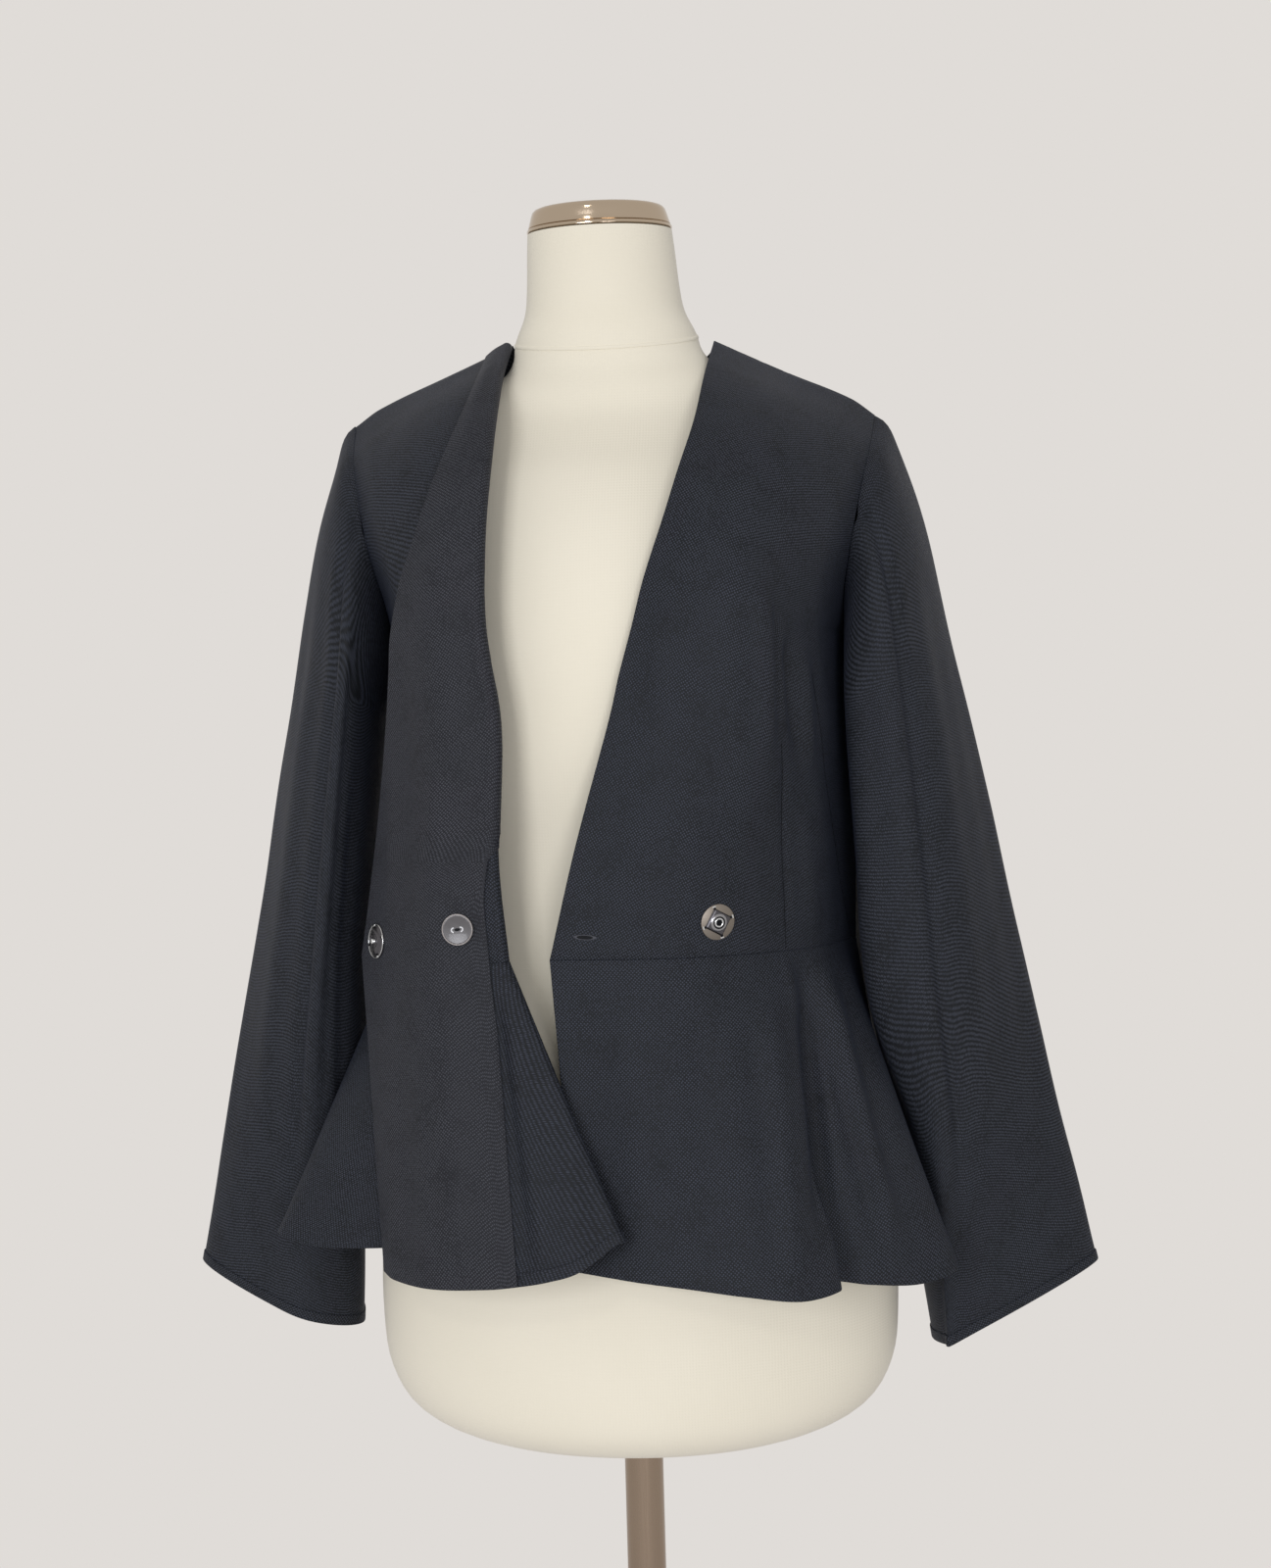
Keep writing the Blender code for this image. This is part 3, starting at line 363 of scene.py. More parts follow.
grey_thread, shader = new_material("grey_button_thread", {
    "Roughness": 0.42, "Sheen Weight": 0.2})
place_on = add_node(grey_thread, "ShaderNodeTexCoord")
twist = add_node(grey_thread, "ShaderNodeTexWave", {"Vector": (place_on, "Object")},
                 {"wave_type": "BANDS", "bands_direction": "DIAGONAL"},
                 {"Scale": 0.314 / 0.0005, "Distortion": 2.0})
tint_by(grey_thread, shader, twist, "Fac", "#b4b6b9", "#f4f5f6")

# Painted shade: a near-black crepe put where seams, darts, holes, grooves and slits hold only
# shade.
painted_shade, shader = new_material("seam_shadow_crepe", {"Specular IOR Level": 0.1})
tint_by(painted_shade, shader, object_noise(painted_shade, 0.003), "Fac", "#050608", "#111318")
print("materials:", len(bpy.data.materials))

# %% [markdown]
# ## The cut of the blazer
# A blazer is cut from a few panels, and each hangs in soft curves from one seam to the next. The
# panels could be modelled by hand, but a short table for each, with a row for every section,
# keeps them where the plain model has them. The rows are read with a smooth curve through them.

# %% Sizes and tables of the cut
CLOTH = 0.0015            # thickness of the crepe
FACING_CLOTH = 0.0010     # and of the facing
GAP = 0.0003              # what is left open at seams and contacts
ROLL_RADIUS, ROLL_RADIUS_TOP = 0.0035, 0.0016    # bend of the turned front
ROLL_TAPER_ROWS = 2
ROWS_ARMHOLE, WAIST_ROW = 7, 10    # table rows down to the underarm and to the waist seam
BACK_NECK_SHARE = 0.4     # share of the back's width that its neckline takes
BREAST_AT, TURN_AT = 0.45, 0.85      # shares of a front where its rows give two more places
BLADE_LERP, BACK_TURN_LERP, BACK_TURN_AT = 0.45, 0.87, 0.82    # and the same for a back
SPREAD_FROM_Z, SPREAD_TO_Z = 1.2, 1.037    # heights between which the right half widens
LIFT_FROM_Z, LIFT_OVER = 1.15, 0.2         # and above which its shoulder is lifted
RIGHT_SPREAD_TOP, RIGHT_SPREAD_WAIST = 1.03, 1.085    # the right half hangs a little wider
RIGHT_LIFT = 0.045        # and its shoulder a little higher, per metre from the middle
SHOULDER_BOW = 0.0035     # how far the shoulder seam arches above a straight line
ARMHOLE_OFF_TOP, ARMHOLE_OFF_LOW = -0.20, 1.10    # a sleeve's stand-off, in cloth thicknesses
LEAVE_OUT, LEAVE_OUT_SIDE = 0.55, 0.25     # how a sleeve leaves the armhole: outward,
LEAVE_ACROSS, LEAVE_DOWN, LEAVE_DOWN_SIDE = -0.5, -0.80, 0.5    # forward or back, and down
UNDERARM_TUCK = 0.75      # how much steeper it leaves under the arm
SLEEVE_OUTER_Y, SLEEVE_RIDGE_DEEP = 0.012, 0.85    # more of its section, see sleeve_ring
SLEEVE_BACK_SHARE, SLEEVE_BACK_DEEP = 0.72, 0.95
SLEEVE_SHARES = (-0.35, -0.15, 0, 0.22, 0.38, 0.5, 0.65, 0.85, 1, 1.22)

FRONT_COLUMNS = ("edge_x", "edge_y", "edge_z", "breast_y", "turn_y", "side_x", "side_y", "side_z")
FRONT = (
    (0.0655, 0.012, 1.429, 0.0102, 0.0086, 0.1685, 0.008, 1.3745),
    (0.0612, -0.040, 1.398, -0.048, -0.036, 0.1630, -0.025, 1.3480),
    (0.0556, -0.080, 1.361, -0.085, -0.062, 0.1575, -0.042, 1.3250),
    (0.0465, -0.100, 1.329, -0.106, -0.078, 0.1521, -0.052, 1.3000),
    (0.0371, -0.113, 1.297, -0.118, -0.085, 0.1480, -0.050, 1.2800),
    (0.0257, -0.122, 1.262, -0.125, -0.084, 0.1445, -0.034, 1.2590),
    (0.0178, -0.127, 1.232, -0.129, -0.080, 0.1440, -0.014, 1.2400),
    (0.0100, -0.128, 1.205, -0.130, -0.074, 0.1455, 0.006, 1.2280),
    (0.0024, -0.128, 1.175, -0.129, -0.070, 0.1470, 0.006, 1.1800),
    (-0.0190, -0.126, 1.104, -0.125, -0.067, 0.1475, 0.006, 1.1060),
    (-0.0364, -0.123, 1.037, -0.122, -0.065, 0.1465, 0.006, 1.0365),
)
BACK_COLUMNS = ("middle_y", "middle_z", "blade_y", "turn_y", "side_x", "side_y", "side_z")
BACK = (
    (0.050, 1.418, 0.012, 0.0095, 0.1685, 0.008, 1.3745),
    (0.066, 1.395, 0.060, 0.040, 0.1650, 0.032, 1.3480),
    (0.078, 1.365, 0.080, 0.060, 0.1610, 0.050, 1.3250),
    (0.088, 1.333, 0.092, 0.074, 0.1570, 0.060, 1.3020),
    (0.094, 1.300, 0.099, 0.082, 0.1545, 0.062, 1.2820),
    (0.098, 1.266, 0.102, 0.080, 0.1515, 0.053, 1.2620),
    (0.100, 1.235, 0.103, 0.075, 0.1485, 0.034, 1.2420),
    (0.100, 1.207, 0.102, 0.070, 0.1455, 0.006, 1.2280),
    (0.098, 1.175, 0.099, 0.066, 0.1470, 0.006, 1.1800),
    (0.091, 1.104, 0.091, 0.061, 0.1475, 0.006, 1.1060),
    (0.088, 1.037, 0.088, 0.060, 0.1465, 0.006, 1.0365),
)
TURNED_COLUMNS = ("roll_share", "middle_y", "edge_x", "edge_y", "edge_z")
TURNED = (
    (0.030, 0.0050, -0.0830, 0.0040, 1.4240),
    (0.070, -0.0540, -0.0830, -0.0570, 1.3900),
    (0.128, -0.0925, -0.0910, -0.0920, 1.3550),
    (0.220, -0.1150, -0.1028, -0.1120, 1.3180),
    (0.303, -0.1240, -0.1128, -0.1130, 1.2890),
    (0.378, -0.1290, -0.1220, -0.1100, 1.2640),
    (0.410, -0.1290, -0.1295, -0.1040, 1.2345),
    (0.420, -0.1280, -0.1325, -0.0980, 1.2100),
    (0.412, -0.1265, -0.1370, -0.0900, 1.1770),
    (0.495, -0.1185, -0.1492, -0.0720, 1.1050),
    (0.520, -0.1165, -0.1615, -0.0620, 1.0370),
)
HEM_COLUMNS = ("share", "x", "y", "z")
HEM_LEFT = (
    (0.00, -0.0226, -0.137, 0.8554),
    (0.20, 0.0105, -0.144, 0.8514),
    (0.40, 0.0440, -0.149, 0.8480),
    (0.58, 0.0780, -0.150, 0.8435),
    (0.68, 0.1080, -0.143, 0.8393),
    (0.75, 0.1295, -0.126, 0.8410),
    (0.79, 0.1270, -0.100, 0.8400),
    (0.83, 0.1474, -0.098, 0.8373),
    (0.89, 0.1795, -0.087, 0.8350),
    (0.94, 0.2019, -0.066, 0.8400),
    (0.97, 0.1840, -0.034, 0.8450),
    (1.00, 0.1740, 0.006, 0.8500),
)
HEM_RIGHT = (
    (0.00, -0.1725, 0.006, 0.8680),
    (0.06, -0.1850, -0.040, 0.8670),
    (0.12, -0.2201, -0.066, 0.8660),
    (0.25, -0.1942, -0.088, 0.8608),
    (0.40, -0.1616, -0.098, 0.8613),
    (0.55, -0.1300, -0.104, 0.8630),
    (0.70, -0.0950, -0.115, 0.8640),
    (0.85, -0.0500, -0.139, 0.8670),
    (1.00, 0.0031, -0.152, 0.8770),
)
HEM_TURNED = (
    (0.00, 0.0031, -0.159, 0.8770),
    (0.02, -0.0181, -0.165, 0.8626),
    (0.04, -0.0369, -0.166, 0.8571),
    (0.06, -0.0544, -0.162, 0.8535),
    (0.28, -0.0747, -0.158, 0.8510),
    (0.62, -0.1086, -0.146, 0.8486),
    (0.87, -0.1330, -0.127, 0.8492),
    (1.00, -0.1418, -0.115, 0.8516),
)
HEM_BACK = (
    (0.00, -0.1725, 0.006, 0.8680),
    (0.08, -0.1740, 0.052, 0.8640),
    (0.17, -0.1560, 0.090, 0.8610),
    (0.27, -0.1400, 0.132, 0.8580),
    (0.36, -0.0950, 0.122, 0.8590),
    (0.45, -0.0550, 0.150, 0.8560),
    (0.53, -0.0050, 0.129, 0.8570),
    (0.62, 0.0480, 0.152, 0.8530),
    (0.71, 0.0900, 0.122, 0.8530),
    (0.80, 0.1400, 0.130, 0.8480),
    (0.89, 0.1570, 0.088, 0.8480),
    (0.95, 0.1740, 0.050, 0.8480),
    (1.00, 0.1740, 0.006, 0.8500),
)
SLEEVE_COLUMNS = ("z", "tilt", "outer_x", "ridge_x", "ridge_y", "front_x", "inner_x", "inner_y",
                  "back_x", "back_y")
SLEEVE_LEFT = (
    (1.210, 0.60, 0.2133, 0.1760, -0.062, 0.1445, 0.1510, 0.004, 0.1440, 0.060),
    (1.120, 0.45, 0.2322, 0.1860, -0.060, 0.1475, 0.1515, 0.004, 0.1450, 0.058),
    (1.020, 0.38, 0.2510, 0.1955, -0.054, 0.1545, 0.1560, 0.020, 0.1520, 0.056),
    (0.920, 0.37, 0.2706, 0.2060, -0.034, 0.1840, 0.1715, 0.028, 0.1880, 0.058),
    (0.801, 0.43, 0.2950, 0.2060, -0.030, 0.1960, 0.1905, 0.010, 0.2166, 0.058),
)
SLEEVE_RIGHT = (
    (1.210, 0.60, 0.2178, 0.1760, -0.062, 0.1630, 0.1560, 0.004, 0.1715, 0.060),
    (1.120, 0.45, 0.2350, 0.1880, -0.060, 0.1724, 0.1640, 0.004, 0.1818, 0.058),
    (1.020, 0.36, 0.2534, 0.2020, -0.054, 0.1825, 0.1720, 0.004, 0.1924, 0.056),
    (0.920, 0.32, 0.2734, 0.2180, -0.032, 0.1933, 0.1800, 0.004, 0.2034, 0.058),
    (0.809, 0.36, 0.2937, 0.2290, -0.030, 0.2004, 0.1850, 0.004, 0.2122, 0.058),
)
print("rows in the front's table:", len(FRONT))

# %% [markdown]
# ## Reading the tables
# A place on a panel is given by two numbers: its share of the width, and the row that it is on,
# counted with a fraction. The turned front needs three stretches across: up to the roll line,
# round the roll, and back over the first.

# %% Curves through the tables
def clamp(t):
    return min(max(t, 0), 1)


def ease(t):
    """A soft step from 0 to 1 as t goes from 0 to 1."""
    t = clamp(t)
    return t * t * (3 - 2 * t)


def point_in(r, name):
    """The point that a row of a table gives in the x, y and z columns of a name."""
    return Vector([r[name + axis] for axis in "xyz"])


def between(start, end, leave, arrive, t):
    """A point on the curve from start to end that leaves and arrives along two ways."""
    return (start * (2 * t**3 - 3 * t**2 + 1) + leave * (t**3 - 2 * t**2 + t)
            + end * (3 * t**2 - 2 * t**3) + arrive * (t**3 - t**2))


def smooth(shares, rows, at):
    """A point on the smooth curve that passes through rows, which lie at the given shares."""
    last = len(shares) - 1
    k = next((i for i in range(last) if at <= shares[i + 1]), last - 1)

    def slope(i):
        low, high = max(i - 1, 0), min(i + 1, last)
        return (rows[high] - rows[low]) / (shares[high] - shares[low])

    width = shares[k + 1] - shares[k]
    return between(rows[k], rows[k + 1], slope(k) * width, slope(k + 1) * width,
                   (at - shares[k]) / width)


def down_rows(row_point, count, v):
    """A point between rows: row_point(k) gives the same place on row k, and v counts rows."""
    near = range(max(int(v) - 1, 0), min(int(v) + 3, count))
    return smooth(list(near), [row_point(k) for k in near], v)


def right_side(p):
    """The same place on the garment's right half."""
    low = ease((SPREAD_FROM_Z - p.z) / (SPREAD_FROM_Z - SPREAD_TO_Z))
    high = clamp((p.z - LIFT_FROM_Z) / LIFT_OVER)
    spread = RIGHT_SPREAD_TOP + (RIGHT_SPREAD_WAIST - RIGHT_SPREAD_TOP) * low
    return Vector((-p.x * spread, p.y, p.z + RIGHT_LIFT * p.x * high))


@functools.lru_cache(maxsize=None)
def front_row(k, u):
    """Row k of the left front at share u of its width, from the front edge to the side."""
    r = dict(zip(FRONT_COLUMNS, FRONT[k]))
    edge, side = point_in(r, "edge_"), point_in(r, "side_")
    breast, turn = edge.lerp(side, BREAST_AT), edge.lerp(side, TURN_AT)
    breast.y, turn.y = r["breast_y"], r["turn_y"]
    if k == 0:
        breast.z += SHOULDER_BOW / 2
        turn.z += SHOULDER_BOW
    return smooth((0, BREAST_AT, TURN_AT, 1), (edge, breast, turn, side), u)


def front(u, v):
    return down_rows(lambda k: front_row(k, u), len(FRONT), v)


@functools.lru_cache(maxsize=None)
def back_row(k, u):
    """Row k of the left back, from the middle seam (or the neckline) to the side."""
    r = dict(zip(BACK_COLUMNS, BACK[k]))
    middle, side = Vector((0, r["middle_y"], r["middle_z"])), point_in(r, "side_")
    if k == 0:
        neck_point = front_row(0, 0)
        if u >= BACK_NECK_SHARE:
            return front_row(0, (u - BACK_NECK_SHARE) / (1 - BACK_NECK_SHARE))
        t = u / BACK_NECK_SHARE
        corner = Vector((neck_point.x, middle.y, middle.z))
        return middle * (1 - t)**2 + corner * 2 * t * (1 - t) + neck_point * t**2
    blade, turn = middle.lerp(side, BLADE_LERP), middle.lerp(side, BACK_TURN_LERP)
    blade.y, turn.y = r["blade_y"], r["turn_y"]
    return smooth((0, BACK_NECK_SHARE, BACK_TURN_AT, 1), (middle, blade, turn, side), u)


def back(u, v):
    return down_rows(lambda k: back_row(k, u), len(BACK), v)


@functools.lru_cache(maxsize=None)
def roll_share(v):
    return down_rows(lambda k: Vector((TURNED[k][0], 0, 0)), len(TURNED), v).x


def unturned(a, v):
    """The right front as far as its roll line, from the side (0) to the roll (1)."""
    return right_side(front(1 - a * (1 - roll_share(v)), v))


@functools.lru_cache(maxsize=None)
def roll_frame(v):
    """Where the right front starts to roll, the ways it heads and faces there, and the radius."""
    step, near = 0.02, 0.1
    start = unturned(1, v)
    heading = (start - unturned(1 - step, v)).normalized()
    down = unturned(1, min(v + near, WAIST_ROW)) - unturned(1, max(v - near, 0))
    out = heading.cross(down).normalized()
    grown = min(v / ROLL_TAPER_ROWS, 1)
    radius = ROLL_RADIUS_TOP + (ROLL_RADIUS - ROLL_RADIUS_TOP) * grown
    return start, heading, out if out.y < 0 else -out, radius


def rolled(start, heading, out, radius, t):
    """A point on the half circle of the roll, from its start (0) to the turned part (1)."""
    angle = math.pi * t
    return start + out * radius + (heading * math.sin(angle) - out * math.cos(angle)) * radius


@functools.lru_cache(maxsize=None)
def turned_row(k, f):
    """Row k of the turned part, from the roll (0) to the free edge (1)."""
    r = dict(zip(TURNED_COLUMNS, TURNED[k]))
    first, edge = rolled(*roll_frame(k), 1), point_in(r, "edge_")
    middle = first.lerp(edge, 0.5)
    middle.y = r["middle_y"]
    return smooth((0, 0.5, 1), (first, middle, edge), f)


def right_front(s, v):
    """The right front: unturned for s in 0 to 1, the roll in 1 to 2, turned in 2 to 3."""
    if s <= 1:
        return unturned(s, v)
    if s < 2:
        return rolled(*roll_frame(v), s - 1)
    return down_rows(lambda k: turned_row(k, s - 2), len(TURNED), v)


@functools.lru_cache(maxsize=None)
def hem_point(table, at):
    """A point on the hem at a share of the panel's width."""
    rows = [dict(zip(HEM_COLUMNS, row)) for row in table]
    return smooth([r["share"] for r in rows], [point_in(r, "") for r in rows], at)


def right_hem(s):
    if s <= 1:
        return hem_point(HEM_RIGHT, s)
    if s < 2:
        start = hem_point(HEM_RIGHT, 1)
        out = (hem_point(HEM_TURNED, 0) - start).normalized()
        return rolled(start, Vector((1, 0, 0)), out, ROLL_RADIUS, s - 1)
    return hem_point(HEM_TURNED, s - 2)


def sleeve_ring(row, phi):
    """A sleeve's section, from its outer side (0) by the front ridge and the inner side (0.5)."""
    r = dict(zip(SLEEVE_COLUMNS, row))
    outer, inner = r["outer_x"], r["inner_x"]
    width = outer - inner
    points = [Vector(p) for p in (
        (outer, SLEEVE_OUTER_Y, 0),
        (r["ridge_x"], r["ridge_y"], 0),
        (r["front_x"], SLEEVE_RIDGE_DEEP * r["ridge_y"], 0),
        (inner, r["inner_y"], 0),
        (r["back_x"], r["back_y"], 0),
        (inner + SLEEVE_BACK_SHARE * width, SLEEVE_BACK_DEEP * r["back_y"], 0),
    )]
    p = smooth(SLEEVE_SHARES, points[4:] + points + points[:2], phi)
    p.z = r["z"] + r["tilt"] * (p.x - inner - width / 2)
    return p


def armhole(phi):
    """The armhole of the left half, from the shoulder (0) by the front to the underarm (0.5)."""
    if phi <= 0.5:
        return front(1, 2 * phi * ROWS_ARMHOLE)
    return back(1, 2 * (1 - phi) * ROWS_ARMHOLE)


def sleeve(table, phi, v):
    """A sleeve at phi round it, and v from the armhole (0) by the table's first row (1)."""
    if v >= 1:
        return down_rows(lambda k: sleeve_ring(table[k], phi), len(table), v - 1)
    forward = math.sin(2 * math.pi * phi)
    low = (1 - math.cos(2 * math.pi * phi)) / 2
    start = armhole(phi)
    start.x += GAP + CLOTH * (ARMHOLE_OFF_TOP + (ARMHOLE_OFF_LOW - ARMHOLE_OFF_TOP) * low)
    end = sleeve_ring(table[0], phi)
    reach = (end - start).length
    leave = Vector((LEAVE_OUT + LEAVE_OUT_SIDE * abs(forward) - UNDERARM_TUCK * low,
                    LEAVE_ACROSS * forward, LEAVE_DOWN + LEAVE_DOWN_SIDE * abs(forward)))
    arrive = (sleeve_ring(table[1], phi) - end).normalized()
    return between(start, end, leave * reach, arrive * reach, v)


def mirrored_sleeve(table, phi, v):
    """The right sleeve: its table gives distances to the right, and its armhole is wider."""
    p = sleeve(table, phi, v)
    if v >= 1:
        return Vector((-p.x, p.y, p.z))
    start = armhole(phi)
    shift = right_side(start) - Vector((-start.x, start.y, start.z))
    return Vector((-p.x, p.y, p.z)) + shift * (1 - v)**2


print("front edge at the waist:", [round(c, 4) for c in front(0, WAIST_ROW)])

# %% [markdown]
# ## Creases
# Hanging cloth is never quite even. Cloth simulation could find its folds, but it would not put
# them where this blazer has them, so each main crease is placed as a soft ridge or trough: a line
# on the cloth, a width and a height. A little slow noise keeps the rest from looking pressed.

# %% Soft ridges and troughs
CREASE_COLUMNS = ("from_a", "from_z", "to_a", "to_z", "bow", "width", "height")
UNEVEN = 0.0009           # how far the slow noise lifts the cloth
UNEVEN_SIZE = 0.07        # and how far apart its bumps are
CREASE_FADE = 0.25        # share of a crease's length over which it fades at each end
CREASE_DIP = 0.8          # how much the cloth beside a crease dips the other way
CREASE_REACH = 3          # widths from a crease beyond which it does nothing


def bump_at(a, z, r):
    """How far the crease in a row of a table lifts the cloth at a place a across and z high."""
    start, end = Vector((r["from_a"], r["from_z"])), Vector((r["to_a"], r["to_z"]))
    line = end - start
    side = Vector((-line.y, line.x)).normalized() * r["bow"]
    here = Vector((a, z))
    t = clamp((here - start).dot(line) / line.length_squared)
    away = (here - (start + line * t + side * 4 * t * (1 - t))).length / r["width"]
    if away > CREASE_REACH:
        return 0
    fade = ease(min(t, 1 - t) / CREASE_FADE)
    return r["height"] * fade * (1 - CREASE_DIP * away * away) * math.exp(-away * away)


def creased(points, ways, creases, across=None):
    """The points of a grid, lifted along the way each faces by the creases and the noise."""
    rows = [dict(zip(CREASE_COLUMNS, crease)) for crease in creases]
    near = [(r, *sorted((r["from_a"], r["to_a"])), *sorted((r["from_z"], r["to_z"])),
             CREASE_REACH * r["width"] + abs(r["bow"])) for r in rows]
    made = []
    for i, line in enumerate(points):
        out = []
        for j, p in enumerate(line):
            a = p.x if across is None else across[i][j]
            lift = UNEVEN * noise.noise(p / UNEVEN_SIZE)
            for r, a_low, a_high, z_low, z_high, reach in near:
                if a_low - reach < a < a_high + reach and z_low - reach < p.z < z_high + reach:
                    lift += bump_at(a, p.z, r)
            out.append(p + ways[i][j] * lift)
        made.append(out)
    return made


print("slow noise lifts the cloth by up to", UNEVEN * 1000, "mm")

# %% [markdown]
# ## From a grid of points to a wall of cloth
# Each panel starts as a flat bmesh grid whose corners are moved to their places. Extruding all
# its faces gives the cloth its thickness, and a small bevel rounds the rim as a pressed edge is.
# The panel's own flat map, in metres along the threads, is written before the extrusion, so both
# faces keep it and the weave runs with the cloth.

# %% Build walls of cloth
EDGE_ROUND = 0.0005       # how much the rim is rounded


def facing_ways(grid, closed=False, outward=1):
    """The way that each point of a grid faces, from its neighbours."""
    last_i, last_j = len(grid) - 1, len(grid[0]) - 1
    ways = []
    for i in range(last_i + 1):
        before, after = (i - 1, i + 1) if 0 < i < last_i else (
            (last_i - 1, 1) if closed else (max(i - 1, 0), min(i + 1, last_i)))
        line = []
        for j in range(last_j + 1):
            across = grid[after][j] - grid[before][j]
            down = grid[i][min(j + 1, last_j)] - grid[i][max(j - 1, 0)]
            line.append(down.cross(across).normalized() * outward)
        ways.append(line)
    return ways


def share_seams(panels):
    """Panels that meet face the same way along their seam, so that their walls are mitred."""
    places = [(tuple(round(c, 5) for c in p), ways[i], j) for grid, ways in panels
              for i, line in enumerate(grid) for j, p in enumerate(line)]
    total = {}
    for key, line, j in places:
        total[key] = total.get(key, Vector()) + line[j]
    for key, line, j in places:
        line[j] = total[key].normalized()


def flat_map(grid):
    """Where each point lies on the cloth laid flat, in metres along its threads."""
    def lengths(line):
        steps = ((after - before).length for before, after in zip(line, line[1:]))
        return list(itertools.accumulate(steps, initial=0.0))

    across = list(zip(*(lengths(row) for row in zip(*grid))))
    return across, [lengths(line) for line in grid]


def cloth_wall(grid, ways, thick=CLOTH, closed=False):
    """A wall of cloth on a grid of points, with a flat map and a rounded rim."""
    columns, rows = len(grid) - 1, len(grid[0]) - 1
    across, down = flat_map(grid)
    bm = bmesh.new()
    bmesh.ops.create_grid(bm, x_segments=columns, y_segments=rows, size=0.5)
    place = {v: (round((v.co.x + 0.5) * columns), round((v.co.y + 0.5) * rows)) for v in bm.verts}
    flat = bm.loops.layers.uv.new("cloth")
    for face in bm.faces:
        for loop in face.loops:
            i, j = place[loop.vert]
            loop[flat].uv = (across[i][j], -down[i][j])
    toward = {}
    for v, (i, j) in place.items():
        v.co = grid[i][j]
        toward[tuple(v.co)] = ways[i][j]
    if closed:
        bmesh.ops.remove_doubles(bm, verts=bm.verts[:], dist=1e-6)
    inner = {v: toward[tuple(v.co)] for v in bm.verts}
    made = bmesh.ops.extrude_face_region(bm, geom=bm.faces[:], use_keep_orig=True)["geom"]
    outer = {v for v in made if isinstance(v, bmesh.types.BMVert)}
    for v in outer:
        v.co += toward[tuple(v.co)] * thick / 2
    for v, way in inner.items():
        v.co -= way * thick / 2
    bmesh.ops.recalc_face_normals(bm, faces=bm.faces[:])
    rim = {f for f in bm.faces if any(v in outer for v in f.verts)
           and not all(v in outer for v in f.verts)}
    corners = [e for e in bm.edges if sum(f in rim for f in e.link_faces) == 1]
    bmesh.ops.bevel(bm, geom=corners, offset=EDGE_ROUND, offset_type="OFFSET", affect="EDGES",
                    segments=2, profile=0.5, material=-1, clamp_overlap=True)
    return bm


def even(start, end, cells):
    """Shares from start to end in even steps."""
    return [start + (end - start) * n / cells for n in range(cells + 1)]


def grid_of(point, across, down):
    return [[point(a, d) for d in down] for a in across]


print("the rim is rounded by", EDGE_ROUND * 1000, "mm")

# %% [markdown]
# ## The bodice and the peplum
# Front, back and peplum panels meet edge to edge in seams that are pressed flat: the rounded rims
# leave a fine groove there. Under the waist seam each fold of the peplum runs straight down to the
# hem, where a table holds the ridges and valleys of its flutes. The grid lines crowd where the
# cloth folds.

# %% Grids of the bodice and the peplum
BODICE_CELLS, PEPLUM_CELLS = 90, 48
FOLDS_FROM = 0.6          # share of the left front beyond which the peplum's folds begin
SHOW_SHARE = 0.06         # share of the turned peplum whose wrong side shows beside the facing
FLAT_CELLS, FOLDED_CELLS = 44, 64
UNTURNED_CELLS, ROLL_CELLS, SHOW_CELLS, TURNED_CELLS = 50, 12, 18, 56
NECK_CELLS, BLADE_CELLS = 24, 40


def stretches(*parts):
    """Shares across a panel, from stretches of (start, end, cells) that follow each other."""
    return [parts[0][0]] + [share for part in parts for share in even(*part)[1:]]


rows_down = even(0, WAIST_ROW, BODICE_CELLS)
shares_left = stretches((0, FOLDS_FROM, FLAT_CELLS), (FOLDS_FROM, 1, FOLDED_CELLS))
shares_right = stretches((0, 1, UNTURNED_CELLS), (1, 2, ROLL_CELLS),
                         (2, 2 + SHOW_SHARE, SHOW_CELLS), (2 + SHOW_SHARE, 3, TURNED_CELLS))
shares_back = stretches((0, BACK_NECK_SHARE, NECK_CELLS), (BACK_NECK_SHARE, 1, BLADE_CELLS))
UNDERARM_CELL = round(BODICE_CELLS * ROWS_ARMHOLE / WAIST_ROW)


def hang(waist, hem):
    """The points of one fold of the peplum, from the waist seam down to the hem."""
    return [waist.lerp(hem, j / PEPLUM_CELLS) for j in range(PEPLUM_CELLS + 1)]


front_left = grid_of(front, shares_left, rows_down)
front_right = grid_of(right_front, shares_right, rows_down)
back_left = grid_of(back, shares_back, rows_down)
back_left[-1][UNDERARM_CELL:] = front_left[-1][UNDERARM_CELL:]
back_right = [[right_side(p) for p in line] for line in back_left]
waist_back = [line[-1] for line in reversed(back_right)] + [line[-1] for line in back_left[1:]]

peplum_left = [hang(line[-1], hem_point(HEM_LEFT, u)) for line, u in zip(front_left, shares_left)]
peplum_right = [hang(line[-1], right_hem(s)) for line, s in zip(front_right, shares_right)]
peplum_back = [hang(p, hem_point(HEM_BACK, i / (len(waist_back) - 1)))
               for i, p in enumerate(waist_back)]

cut = {
    "front_left": (front_left, 1), "front_right": (front_right, 1), "back_left": (back_left, -1),
    "back_right": (back_right, 1), "peplum_left": (peplum_left, 1),
    "peplum_right": (peplum_right, 1), "peplum_back": (peplum_back, -1),
}
ways = {name: facing_ways(grid, outward=outward) for name, (grid, outward) in cut.items()}
print("points of cloth:", sum(len(grid) * len(grid[0]) for grid, outward in cut.values()))

# %% [markdown]
# The creases are read off the cloth as it hangs: a peak and a dip below the bust, where the dart
# ends, soft drags from there, the ridges and the valley of the flutes, and a few faint ones down
# the turned front. The turned part faces backwards, so its creases are lifted the other way there.

